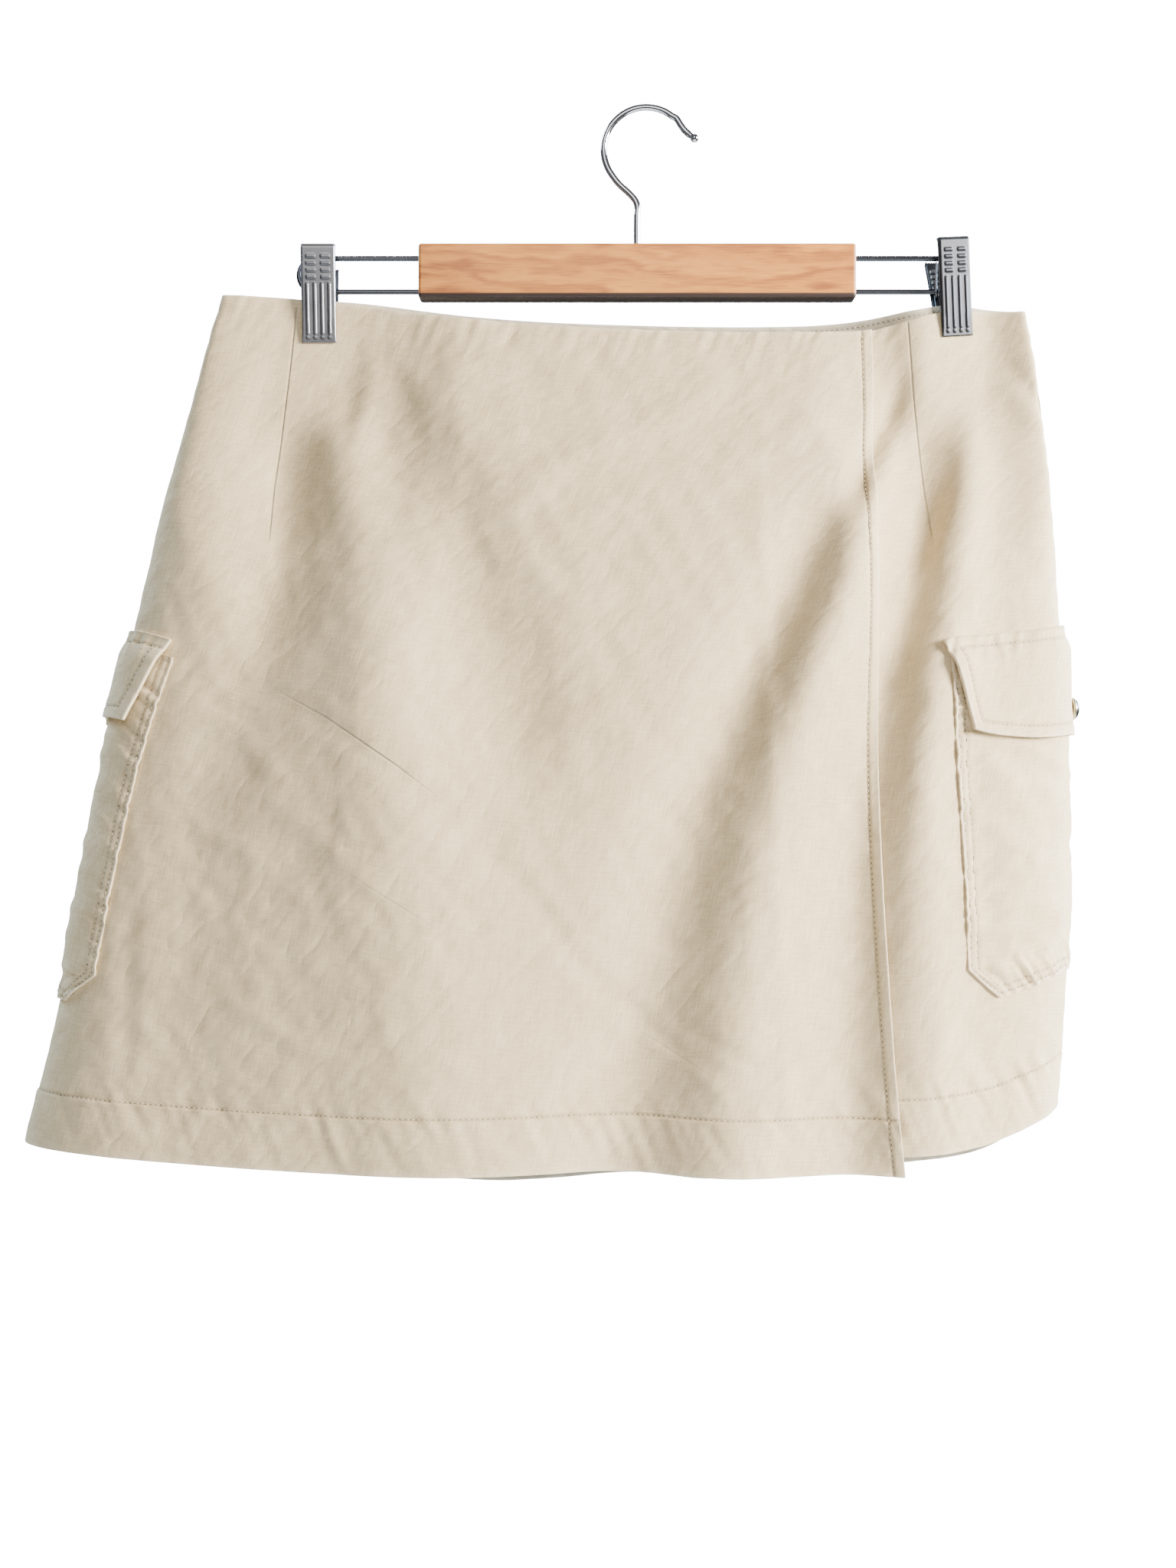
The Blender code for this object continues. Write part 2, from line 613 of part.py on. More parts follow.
def build_bar(collection, cutters):
    """The wooden bar with softened edges, drilled for the hook and the four rail ends."""
    block = bmesh.new()
    bmesh.ops.create_cube(block, size=1.0)
    bmesh.ops.scale(block, vec=BAR, verts=block.verts)
    mesh = bpy.data.meshes.new("hanger_block")
    block.to_mesh(mesh)
    block.free()
    item = add_object("hanger_block", mesh, "wood", collection)
    item.location = (0.0, 0.0, BAR_CENTRE_Z)
    edges = item.modifiers.new("edges", "BEVEL")
    edges.width = 0.0014
    edges.segments = 2
    depth = 2.0 * (RAIL_BURIED + SEAM_GAP)
    holes = [("hook_hole", (0.0, 0.0, BAR_CENTRE_Z + 0.5 * BAR[2]), (0, 0, 1), WIRE_RADIUS)]
    for sign, side in ((-1.0, "left"), (1.0, "right")):
        for height, z in (("upper", RAIL_UPPER_Z), ("lower", RAIL_LOWER_Z)):
            holes.append((f"hole_{side}_{height}", (sign * 0.5 * BAR[0], 0.0, z), (1, 0, 0), RAIL_RADIUS))
    for name, place, axis, radius in holes:
        bit = drill(name, place, axis, radius + HOLE_CLEARANCE, depth, cutters)
        cut = item.modifiers.new(name, "BOOLEAN")
        cut.operation = "DIFFERENCE"
        cut.object = bit
    return item


def clip_frame(clip):
    """A frame at the middle of the clip's lip: X across the jaw, -Y out of its front, Z up it."""
    turn = Matrix.Rotation(clip["turn"], 4, "Z")
    lean = Matrix.Rotation(-clip["lean"], 4, "Y")
    return Matrix.Translation((clip["x"], 0.0, clip["z_low"])) @ turn @ lean


def jaw_mesh(name, facing, height):
    """A pressed channel: a face that leans out, side walls down to the cloth, and a top lip."""
    half = 0.5 * JAW_WIDTH
    lean = height * math.tan(JAW_TILT)
    wall_low = JAW_FACE + 0.0004
    sheet = bmesh.new()
    face_low = JAW_FACE + JAW_SHEET
    corners = {}
    for x in (-half, half):
        corners[x, "face_low"] = sheet.verts.new((x, facing * face_low, 0.0))
        corners[x, "face_top"] = sheet.verts.new((x, facing * (face_low + lean), height))
        corners[x, "wall_low"] = sheet.verts.new((x, facing * wall_low, 0.004))
        corners[x, "wall_top"] = sheet.verts.new((x, facing * (wall_low + 0.70 * lean), height - 0.004))
    sheet.faces.new((corners[-half, "face_low"], corners[half, "face_low"],
                     corners[half, "face_top"], corners[-half, "face_top"]))
    for x in (-half, half):
        sheet.faces.new((corners[x, "face_low"], corners[x, "face_top"],
                         corners[x, "wall_top"], corners[x, "wall_low"]))
    bmesh.ops.recalc_face_normals(sheet, faces=sheet.faces)
    mesh = bpy.data.meshes.new(name)
    sheet.to_mesh(mesh)
    sheet.free()
    return mesh


def build_jaw(side, layer, collection):
    facing = -1.0 if layer == "front" else 1.0
    name = f"clip_{side}_{layer}"
    item = add_object(name, jaw_mesh(name, facing, JAW_HEIGHT[layer]), "steel", collection)
    item.matrix_world = clip_frame(CLIPS[side])
    shell = item.modifiers.new("sheet", "SOLIDIFY")
    shell.solidify_mode = "NON_MANIFOLD"
    shell.nonmanifold_thickness_mode = "CONSTRAINTS"
    shell.thickness = JAW_SHEET
    shell.offset = 0.0
    return item


def build_spring(side, collection):
    """The spring's barrel, round the lower rail between the jaws."""
    half = 0.5 * SPRING_LENGTH
    edge = 0.0004
    profile = [(SPRING_BORE, half), (SPRING_RADIUS - edge, half), (SPRING_RADIUS, half - edge),
               (SPRING_RADIUS, -half + edge), (SPRING_RADIUS - edge, -half), (SPRING_BORE, -half),
               (SPRING_BORE, half)]
    name = f"clip_{side}_spring"
    item = add_object(name, turned_mesh(name, profile), "steel", collection)
    turn_profile(item, 16)
    clip = CLIPS[side]
    x = clip["x"] - (RAIL_LOWER_Z - clip["z_low"]) * math.tan(clip["lean"])
    x -= math.copysign(SPRING_SHIFT, x)
    item.matrix_world = Matrix.Translation((x, 0.0, RAIL_LOWER_Z)) @ Matrix.Rotation(math.pi / 2, 4, "Y")
    return item


def main():
    clear_scene()
    skirt = bpy.data.collections.new("cargo_skirt_on_hanger")
    cutters = bpy.data.collections.new("cutters")
    for collection in (skirt, cutters):
        bpy.context.scene.collection.children.link(collection)
    rings = build_rings()
    build_front_wrap(rings, skirt)
    build_front_under(rings, skirt)
    build_back(rings, skirt)
    build_back_facing(rings, skirt)
    for side in ("left", "right"):
        build_pocket(side, rings, skirt)
        build_flap(side, rings, skirt)
        build_snap(side, rings, skirt)
        build_rail(side, skirt)
        build_spring(side, skirt)
        for layer in ("front", "back"):
            build_jaw(side, layer, skirt)
    build_bar(skirt, cutters)
    build_hook(skirt)


main()
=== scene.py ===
# %% [markdown]
# # A cargo skirt on its clip hanger
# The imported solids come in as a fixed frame. They hold the true sizes, so everything here is made
# where they are. Each stiff cloth solid gives way to a fine shell with folds, seams and stitches,
# and each plain metal solid to one with its pressed and turned detail.

# %% Load the frame
import copy
import math
from collections import namedtuple

import bmesh
import bpy
import numpy as np
from mathutils import Matrix, Vector, noise


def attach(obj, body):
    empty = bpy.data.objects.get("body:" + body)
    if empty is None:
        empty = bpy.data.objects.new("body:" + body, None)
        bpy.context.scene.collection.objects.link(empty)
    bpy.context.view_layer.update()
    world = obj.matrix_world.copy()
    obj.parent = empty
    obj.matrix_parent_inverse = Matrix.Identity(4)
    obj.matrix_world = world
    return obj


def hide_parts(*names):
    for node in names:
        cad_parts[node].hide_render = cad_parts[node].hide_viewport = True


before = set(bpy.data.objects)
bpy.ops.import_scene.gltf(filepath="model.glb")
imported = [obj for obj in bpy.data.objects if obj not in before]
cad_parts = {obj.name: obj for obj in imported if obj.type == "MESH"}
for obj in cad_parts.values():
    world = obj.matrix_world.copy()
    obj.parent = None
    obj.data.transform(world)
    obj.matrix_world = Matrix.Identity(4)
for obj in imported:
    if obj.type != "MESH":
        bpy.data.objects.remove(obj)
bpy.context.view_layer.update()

# %% [markdown]
# ## Camera
# The skirt is looked at level, from straight in front and one metre away, at about half its
# height. A lens of 44 mm on a 36 mm frame takes in the hanger and room below the hem. A longer
# lens from further off would flatten the sides, and then the pockets would hardly show.

# %% Camera
CAMERA_PLACE = (-0.0256, -1.0, -0.3512)
CAMERA_LENS = 43.945
FILM_WIDTH = 36.0


def add_camera():
    data = bpy.data.cameras.new("camera")
    data.lens = CAMERA_LENS
    data.sensor_width = FILM_WIDTH
    data.clip_start = 0.01
    camera = bpy.data.objects.new("camera", data)
    camera.location = CAMERA_PLACE
    camera.rotation_euler = (math.pi / 2, 0.0, 0.0)
    bpy.context.scene.collection.objects.link(camera)
    bpy.context.scene.camera = camera
    print("camera at", CAMERA_PLACE)


add_camera()

# %% [markdown]
# ## Shader maths
# A material is a small program in nodes. One class wraps a node's output, so that sums on it can
# be written as Python sums and add their Math nodes. A recipe is a new material, and its node()
# method is the one way to add any other node.

# %% Wires and recipes
class Wire:
    """One output of a node. Sums with numbers or other wires add Math nodes."""

    def __init__(self, recipe, socket):
        self.recipe, self.socket = recipe, socket

    def maths(self, operation, first, second):
        return self.recipe.node("Math", {"operation": operation}, {0: first, 1: second})

    def function(self, operation):
        """A Math node that takes only this wire."""
        return self.recipe.node("Math", {"operation": operation}, {0: self})

    def bell(self):
        """1 where this wire is 0, falling off softly both ways."""
        return (self * self * -1.0).function("EXPONENT")

    def pick(self, name):
        """Another output of the same node."""
        return Wire(self.recipe, self.socket.node.outputs[name])

    def __add__(self, other):
        return self.maths("ADD", self, other)

    def __radd__(self, other):
        return self.maths("ADD", other, self)

    def __sub__(self, other):
        return self.maths("SUBTRACT", self, other)

    def __rsub__(self, other):
        return self.maths("SUBTRACT", other, self)

    def __mul__(self, other):
        return self.maths("MULTIPLY", self, other)

    def __rmul__(self, other):
        return self.maths("MULTIPLY", other, self)


class Recipe:
    """A new material with one Principled shader."""

    def __init__(self, name, **constants):
        self.material = bpy.data.materials.new(name)
        self.material.use_nodes = True
        self.tree = self.material.node_tree
        self.shader = self.tree.nodes["Principled BSDF"]
        for name, value in constants.items():
            self.shader.inputs[name.replace("_", " ")].default_value = value

    def node(self, kind, settings=None, sockets=None):
        """Add a node: its settings first, and then the values or wires of its sockets."""
        made = self.tree.nodes.new("ShaderNode" + kind)
        for name, value in (settings or {}).items():
            if name == "stops":
                while len(made.color_ramp.elements) < len(value):
                    made.color_ramp.elements.new(1.0)
                for stop, (place, colour) in zip(made.color_ramp.elements, value):
                    stop.position, stop.color = place, (*colour, 1.0)
            else:
                setattr(made, name, value)
        for key, value in (sockets or {}).items():
            self.feed(made.inputs[key], value)
        return Wire(self, next(output for output in made.outputs if output.enabled))

    def feed(self, target, value):
        if isinstance(value, Wire):
            self.tree.links.new(value.socket, target)
        else:
            target.default_value = value

    def mix(self, share, first, second):
        """A colour between two colours."""
        return self.node("Mix", {"data_type": "RGBA"}, {"Factor": share, 6: first, 7: second})

    def ramp(self, value, *stops):
        return self.node("ValToRGB", {"stops": stops}, {"Fac": value})

    def clouds(self, place, scale, detail=3.0):
        """Soft noise from 0 to 1."""
        return self.node("TexNoise", None, {"Vector": place, "Scale": scale, "Detail": detail})

    def surface(self, height=None, distance=0.0001, strength=1.0, **links):
        """Feed the shader, and turn a height into a bump in metres."""
        for name, value in links.items():
            self.feed(self.shader.inputs[name.replace("_", " ")], value)
        if height is not None:
            bump = self.node("Bump", None, {"Height": height, "Distance": distance, "Strength": strength})
            self.feed(self.shader.inputs["Normal"], bump)
        return self.material


# %% [markdown]
# ## Light and floor
# Soft daylight comes from the right and front, and a weaker, cooler one from the left. That is
# what shows the folds: a slope that faces right is pale and warm, and one that faces left is dark.
# The sky that the camera sees is brighter than the one that lights the skirt, as on a bleached
# studio wall. The floor is a pale disc as far below the hem as under a real clothes rail.

# %% Light and floor
FLOOR_HEIGHT = -1.25
FLOOR_RADIUS = 1.1
SKIRT_MIDDLE = (-0.03, 0.0, -0.33)
Lamp = namedtuple("Lamp", "name place size watts colour")
LAMPS = [
    Lamp("window_right", (2.05, -1.00, 0.25), 0.8, 290.0, (1.0, 0.955, 0.885)),
    Lamp("window_front", (-0.2, -2.4, 0.7), 1.4, 26.0, (1.0, 0.97, 0.93)),
    Lamp("sky_left", (-1.5, 0.62, 1.0), 0.9, 82.0, (0.60, 0.80, 1.0)),
    Lamp("sky_right", (1.9, 0.45, 0.35), 1.0, 185.0, (0.54, 0.79, 1.0)),
    Lamp("sky_behind", (-0.6, 2.0, 0.8), 1.6, 40.0, (0.92, 0.96, 1.0)),
]


def add_lamp(lamp):
    data = bpy.data.lights.new(lamp.name, "AREA")
    data.energy, data.size, data.color = lamp.watts, lamp.size, lamp.colour
    item = bpy.data.objects.new(lamp.name, data)
    item.location = lamp.place
    aim = Vector(SKIRT_MIDDLE) - Vector(lamp.place)
    item.rotation_euler = aim.to_track_quat("-Z", "Y").to_euler()
    bpy.context.scene.collection.objects.link(item)


def add_sky(lighting, seen):
    world = bpy.data.worlds.new("studio")
    world.use_nodes = True
    bpy.context.scene.world = world
    tree = world.node_tree
    shown = tree.nodes["Background"]
    shown.inputs["Color"].default_value = (1.0, 1.0, 1.0, 1.0)
    shown.inputs["Strength"].default_value = seen
    light = tree.nodes.new("ShaderNodeBackground")
    light.inputs["Color"].default_value = (0.90, 0.95, 1.0, 1.0)
    light.inputs["Strength"].default_value = lighting
    rays = tree.nodes.new("ShaderNodeLightPath")
    both = tree.nodes.new("ShaderNodeMixShader")
    tree.links.new(rays.outputs["Is Camera Ray"], both.inputs[0])
    tree.links.new(light.outputs[0], both.inputs[1])
    tree.links.new(shown.outputs[0], both.inputs[2])
    tree.links.new(both.outputs[0], tree.nodes["World Output"].inputs["Surface"])


def add_floor():
    disc = bmesh.new()
    bmesh.ops.create_circle(disc, cap_ends=True, segments=96, radius=FLOOR_RADIUS)
    mesh = bpy.data.meshes.new("floor")
    disc.to_mesh(mesh)
    disc.free()
    floor = bpy.data.objects.new("floor", mesh)
    floor.location = (0.0, 0.0, FLOOR_HEIGHT)
    paint = Recipe("pale_floor", Roughness=0.8)
    speckle = paint.clouds(paint.node("TexCoord").pick("Object"), 60.0)
    shade = paint.mix(speckle, (0.80, 0.80, 0.79, 1.0), (0.86, 0.86, 0.85, 1.0))
    mesh.materials.append(paint.surface(Base_Color=shade))
    bpy.context.scene.collection.objects.link(floor)


for lamp in LAMPS:
    add_lamp(lamp)
add_sky(lighting=0.20, seen=16.0)
add_floor()
print("lamps:", len(LAMPS))

# %% [markdown]
# ## Cotton twill
# The skirt is a washed cotton twill. Its finest detail is the weave: threads that run up and
# across, and the diagonal wale that they make. Thick and thin threads give faint streaks both
# ways, and washing gives soft clouds, a fine crumple and pale edges. Every cloth piece carries a
# map called `cut`, its place on the flat cloth in metres, so the weave follows the cloth and has
# its true scale. A picture of cloth could be laid on instead, but it would blur close to and
# repeat further off. Four values come with the map: `wear` is 1 on folded edges, a third value
# is 1 in a row of stitches and paints shade into its furrow, and `line` is the distance to the
# nearest dart or sharp crease, as deep as `line_depth`. A distance runs straight from one point of
# the grid to the next, so the material can draw a line much finer than the grid: a dark seam,
# which is a shallow bump with painted shade, and a painted highlight beside it.

# %% Twill
WALE = 0.00078          # from one diagonal line of the twill to the next
SLUB = 0.00100          # a thick thread
LINE_HALF = 0.00052     # half the width of a sharp crease or a dart's seam
HIGHLIGHT_SHIFT = 1.3       # from the middle of a line to its painted highlight, in half widths
WEAVE_HEIGHT = 0.00011
CRUMPLE_HEIGHT = 0.0019
LINE_DEPTH = 0.00040


def twill(name, dark, light, wear_and_highlight):
    cloth = Recipe(name, Sheen_Weight=0.12, Sheen_Roughness=0.45, Specular_IOR_Level=0.25)
    place = cloth.node("SeparateXYZ", None, {0: cloth.node("UVMap", {"uv_map": "cut"})})
    across, down = place, place.pick("Y")

    def drawn(name):
        return cloth.node("Attribute", {"attribute_name": name}).pick("Fac")

    def streaks(wide, long, detail, slant=0.0):
        vector = cloth.node("CombineXYZ", None, {0: (across + down * slant) * (1.0 / wide),
                                                 1: (down - across * slant) * (1.0 / long)})
        return cloth.clouds(vector, 1.0, detail)

    def ridges(soft):
        """Sharp lines where soft noise crosses its middle value."""
        return (soft - 0.5).function("ABSOLUTE")

    warp = streaks(SLUB, 0.014, 2.0)
    weft = streaks(0.011, SLUB, 2.0)
    fuzz = streaks(0.0011, 0.0011, 3.0)
    clouds = streaks(0.026, 0.038, 5.0)
    crumple = ridges(streaks(0.022, 0.046, 2.0, -0.8)) + ridges(streaks(0.034, 0.015, 2.0, 0.3)) * 0.6
    wale = ((across - down) * (2.0 * math.pi / WALE) + fuzz * 3.0).function("SINE") * 0.5 + 0.5
    tone = warp * 0.54 + weft * 0.44 + fuzz * 0.42 + clouds * 0.32 + wale * 0.06 - 0.39
    shade = cloth.mix(cloth.ramp(tone, (0.30, (0, 0, 0)), (0.70, (1, 1, 1))), (*dark, 1.0), (*light, 1.0))
    rubbed = drawn("wear") * (fuzz * 0.7 + clouds * 0.5)
    shade = cloth.mix(rubbed, shade, (*wear_and_highlight, 1.0))
    beside = drawn("line") * (1.0 / LINE_HALF)
    line = beside.bell() * drawn("line_depth")
    # painted highlight: a pale band beside each dart and sharp crease
    painted_highlight = (beside + HIGHLIGHT_SHIFT).bell() * drawn("line_depth")
    shade = cloth.mix(painted_highlight * 0.35, shade, (*wear_and_highlight, 1.0))
    # painted shade: darker in the furrows of stitches and along darts and sharp creases
    painted_shade = drawn("sunk") + line * 1.4
    shade = cloth.mix(painted_shade * 0.42, shade, tuple(0.42 * part for part in dark) + (1.0,))
    weave = wale * 0.4 + warp * 0.7 + weft * 0.6 + fuzz * 0.6
    height = weave * WEAVE_HEIGHT + crumple * CRUMPLE_HEIGHT - line * LINE_DEPTH
    return cloth.surface(height, 1.0, 1.0, Base_Color=shade, Roughness=0.80 + fuzz * 0.16)


CLOTH = twill("twill", (0.570, 0.436, 0.245), (0.765, 0.605, 0.372), (0.83, 0.71, 0.52))
CLOTH_INSIDE = twill("twill_wrong_side", (0.470, 0.400, 0.290), (0.600, 0.520, 0.390), (0.72, 0.65, 0.52))
print("cloth:", CLOTH.name, CLOTH_INSIDE.name)

# %% [markdown]
# ## Thread, wood and metal
# The thread is a touch paler than the cloth. The bar is a light, straight-grained wood under
# satin lacquer: fine pores along it, and broad darker bands that cross it at a slant. Noise that
# is stretched along the bar gives both, and being solid it meets itself at the corners, as grain
# does. The underside is painted dark as shade and has no coat. The clips and rails are plated
# steel and the hook is polished, and all are a little uneven in gloss from handling. The right clip
# faces the brightest window and would be white with the left one's plating, so it gets a darker,
# rougher copy of that plating: painted shade.

# %% Thread, wood and metal
def thread_recipe():
    thread = Recipe("sewing_thread", Specular_IOR_Level=0.35)
    place = thread.node("TexCoord").pick("Object")
    twist = thread.clouds(place, 2600.0, 1.0)
    shade = thread.mix(twist, (0.60, 0.50, 0.34, 1.0), (0.84, 0.74, 0.56, 1.0))
    return thread.surface(Base_Color=shade, Roughness=0.55 + twist * 0.2)


def shadow_recipe(name, dark, light):
    """Painted shade for the inside of a small hole."""
    hole = Recipe(name, Roughness=0.9, Specular_IOR_Level=0.1)
    shade = hole.mix(hole.clouds(hole.node("TexCoord").pick("Object"), 900.0), (*dark, 1.0), (*light, 1.0))
    return hole.surface(Base_Color=shade)


def wood_recipe():
    wood = Recipe("lacquered_wood", Coat_Roughness=0.22)
    place = wood.node("SeparateXYZ", None, {0: wood.node("TexCoord").pick("Object")})
    along_bar, deep, up = place, place.pick("Y"), place.pick("Z")

    def grain(long, wide, detail=3.0):
        return wood.clouds(wood.node("CombineXYZ", None, {0: along_bar * (1.0 / long), 1: deep * (1.0 / wide),
                                                          2: up * (1.0 / wide)}), 1.0, detail)

    slow = grain(0.050, 0.014)
    rings = (up * 480.0 + along_bar * 42.0 + slow * 26.0).function("SINE")
    pores = grain(0.012, 0.0006)
    tone = rings * 0.09 + slow * 0.50 + pores * 0.40
    shade = wood.ramp(tone, (0.26, (0.280, 0.080, 0.008)), (0.44, (0.490, 0.165, 0.017)),
                      (0.62, (0.650, 0.250, 0.029)), (0.82, (0.760, 0.325, 0.050)))
    # painted shade: the underside goes dark and loses its coat
    under = wood.node("MapRange", None, {"Value": up, "From Min": UNDERSIDE_SHADE_FULL, "From Max": UNDERSIDE_SHADE_GONE,
                                         "To Min": 1.0, "To Max": 0.0})
    shade = wood.mix(under, shade, (0.022, 0.008, 0.004, 1.0))
    return wood.surface(pores * 0.6 + slow * 0.2, 0.00008, 0.5, Base_Color=shade,
                        Roughness=0.42 + pores * 0.16, Coat_Weight=(0.25 + slow * 0.1) * (1.0 - under))


def metal_recipe(name, dark, light, rough, uneven, marks):
    metal = Recipe(name, Metallic=1.0)
    place = metal.node("TexCoord").pick("Object")
    smears = metal.clouds(place, 160.0, 4.0)
    specks = metal.clouds(place, 900.0, 2.0)
    shade = metal.mix(smears, (*dark, 1.0), (*light, 1.0))
    return metal.surface(specks, 0.00002, marks, Base_Color=shade, Roughness=smears * uneven + rough)


BAR_FOOT = -0.0985
# painted shade on the bar's underside, full below the first height and gone above the second
UNDERSIDE_SHADE_FULL, UNDERSIDE_SHADE_GONE = BAR_FOOT + 0.0020, BAR_FOOT + 0.0027
THREAD_MATERIAL = thread_recipe()
# painted shade in the needle holes between stitches
NEEDLE_HOLE_SHADE = shadow_recipe("needle_hole_shade", (0.13, 0.095, 0.055), (0.20, 0.15, 0.10))
WOOD = wood_recipe()
STEEL = metal_recipe("plated_steel", (0.19, 0.19, 0.205), (0.31, 0.31, 0.33), 0.30, 0.12, 0.08)
# painted shade: a darker, rougher copy of the plating for the clip that faces the brightest window
SHADED_CLIP_STEEL = metal_recipe("clip_steel_painted_darker", (0.032, 0.033, 0.037), (0.048, 0.050, 0.056), 0.34, 0.12, 0.08)
WIRE_STEEL = metal_recipe("drawn_wire", (0.070, 0.073, 0.085), (0.115, 0.120, 0.135), 0.20, 0.12, 0.06)
CHROME = metal_recipe("polished_hook", (0.40, 0.40, 0.42), (0.56, 0.56, 0.59), 0.07, 0.10, 0.10)
BRASS = metal_recipe("aged_brass", (0.44, 0.37, 0.22), (0.66, 0.58, 0.40), 0.28, 0.20, 0.30)
DARK_CAP = metal_recipe("dark_cap", (0.08, 0.08, 0.08), (0.20, 0.18, 0.15), 0.24, 0.20, 0.30)
print("finishes:", [m.name for m in (THREAD_MATERIAL, WOOD, STEEL, CHROME, BRASS)])

# %% [markdown]
# ## The form of the hanging skirt
# The skirt is one ring of cloth at every level, from 0 at the waist to 1 at the hem. A table
# gives each ring its two ends, its depth, how blunt its ends are, how far behind its left end the
# side seam lies, and how far the cloth sags beside it. The edges have tables of their own, because
# waist and hem curve, and folds run down the rings as soft ridges and troughs. A cloth simulation
# could hang the skirt, but it would fall into folds of its own, so they are laid where they are
# wanted. These are the numbers of the solids, repeated because a thin shell has to lie on its own
# solid. Only the folds differ: they are softer and fuller than in the stiff cloth.

# %% Tables of the form
Section = namedtuple("Section", "level left right front back blunt_left blunt_right seam_back grain_drop")
SECTIONS = [Section(*row) for row in (
    (0.00, -0.2168, 0.2032, 0.010, 0.010, 2.0, 2.0, 0.000, 0.000),
    (0.10, -0.2288, 0.2100, 0.019, 0.017, 2.1, 2.0, 0.006, 0.001),
    (0.25, -0.2466, 0.2162, 0.034, 0.029, 2.4, 2.0, 0.020, 0.005),
    (0.40, -0.2614, 0.2198, 0.045, 0.037, 2.6, 2.0, 0.032, 0.009),
    (0.55, -0.2752, 0.2214, 0.052, 0.042, 2.7, 2.0, 0.036, 0.010),
    (0.70, -0.2880, 0.2224, 0.056, 0.045, 2.7, 2.1, 0.036, 0.009),
    (0.85, -0.3005, 0.2228, 0.058, 0.046, 2.6, 2.1, 0.036, 0.007),
    (1.00, -0.3172, 0.2180, 0.059, 0.047, 2.5, 2.1, 0.036, 0.000),
)]
FRONT_WAIST = ((-0.217, -0.0964), (-0.180, -0.0985), (-0.148, -0.1018), (-0.108, -0.1082),
               (-0.050, -0.1139), (0.003, -0.1165), (0.060, -0.1176), (0.115, -0.1162),
               (0.141, -0.1108), (0.164, -0.1052), (0.204, -0.1044))
BACK_WAIST = ((-0.217, -0.0964), (-0.180, -0.0985), (-0.148, -0.1002), (-0.108, -0.1036),
              (-0.053, -0.1078), (0.004, -0.1099), (0.052, -0.1107), (0.091, -0.1103),
              (0.117, -0.1088), (0.145, -0.1050), (0.164, -0.1018), (0.204, -0.1044))
WRAP_HEM = ((-0.318, -0.5352), (-0.220, -0.5401), (-0.140, -0.5426), (-0.020, -0.5427),
            (0.050, -0.5445), (0.135, -0.5464))
UNDER_HEM = ((0.060, -0.5385), (0.132, -0.5366), (0.172, -0.5334), (0.190, -0.5284),
             (0.208, -0.5221), (0.219, -0.5168))
BACK_HEM = ((-0.318, -0.5352), (-0.220, -0.5560), (-0.129, -0.5652), (-0.088, -0.5677),
            (-0.042, -0.5655), (0.000, -0.5630), (0.040, -0.5652), (0.095, -0.5610),
            (0.150, -0.5556), (0.190, -0.5440), (0.219, -0.5168))
WRAP_EDGE = ((0.00, 0.1216), (0.06, 0.1220), (0.30, 0.1212), (0.60, 0.1208), (0.85, 0.1260),
             (1.00, 0.1317))

Fold = namedtuple("Fold", "side path wide_top wide_low height")
FOLDS = [Fold(*row) for row in (
    ("front", ((0.02, -0.155), (0.16, -0.152), (0.30, -0.142), (0.65, -0.120), (1.02, -0.098)),
     0.017, 0.056, 0.0070),
    ("front", ((0.06, -0.178), (0.32, -0.187), (0.62, -0.222), (0.90, -0.232)), 0.015, 0.030, -0.0028),
    ("front", ((0.10, -0.110), (0.30, -0.088), (0.46, -0.068)), 0.020, 0.032, -0.0042),
    ("front", ((0.16, 0.108), (0.40, 0.062), (0.58, 0.030), (0.74, 0.012), (1.00, -0.012)),
     0.018, 0.034, -0.0064),
    ("front", ((0.08, 0.131), (0.24, 0.115), (0.45, 0.080), (0.58, 0.062), (0.70, 0.054), (0.86, 0.046),
               (1.02, 0.044)), 0.014, 0.030, 0.0060),
    ("front", ((0.10, 0.149), (0.28, 0.143), (0.45, 0.124), (0.62, 0.111), (0.95, 0.106)),
     0.012, 0.022, -0.0062),
    ("front", ((0.04, 0.174), (0.18, 0.174), (0.30, 0.166), (0.50, 0.146), (0.75, 0.138), (1.02, 0.141)),
     0.013, 0.026, 0.0068),
    ("back", ((0.05, -0.160), (0.35, -0.150), (0.70, -0.140), (1.02, -0.132)), 0.022, 0.050, 0.0070),
    ("back", ((0.10, -0.120), (0.40, -0.088), (0.75, -0.060), (1.02, -0.045)), 0.022, 0.042, -0.0055),
    ("back", ((0.20, 0.010), (0.55, 0.000), (1.02, -0.012)), 0.034, 0.050, 0.0040),
    ("back", ((0.12, 0.118), (0.40, 0.080), (0.75, 0.052), (1.02, 0.040)), 0.020, 0.040, -0.0055),
    ("back", ((0.05, 0.162), (0.35, 0.146), (0.70, 0.132), (1.02, 0.126)), 0.020, 0.045, 0.0065),
)]
FOLD_RISE = 0.14        # a fold grows over this much level from its top
FOLD_FULL = 1.45        # the soft shell's folds stand this much fuller than the solid's

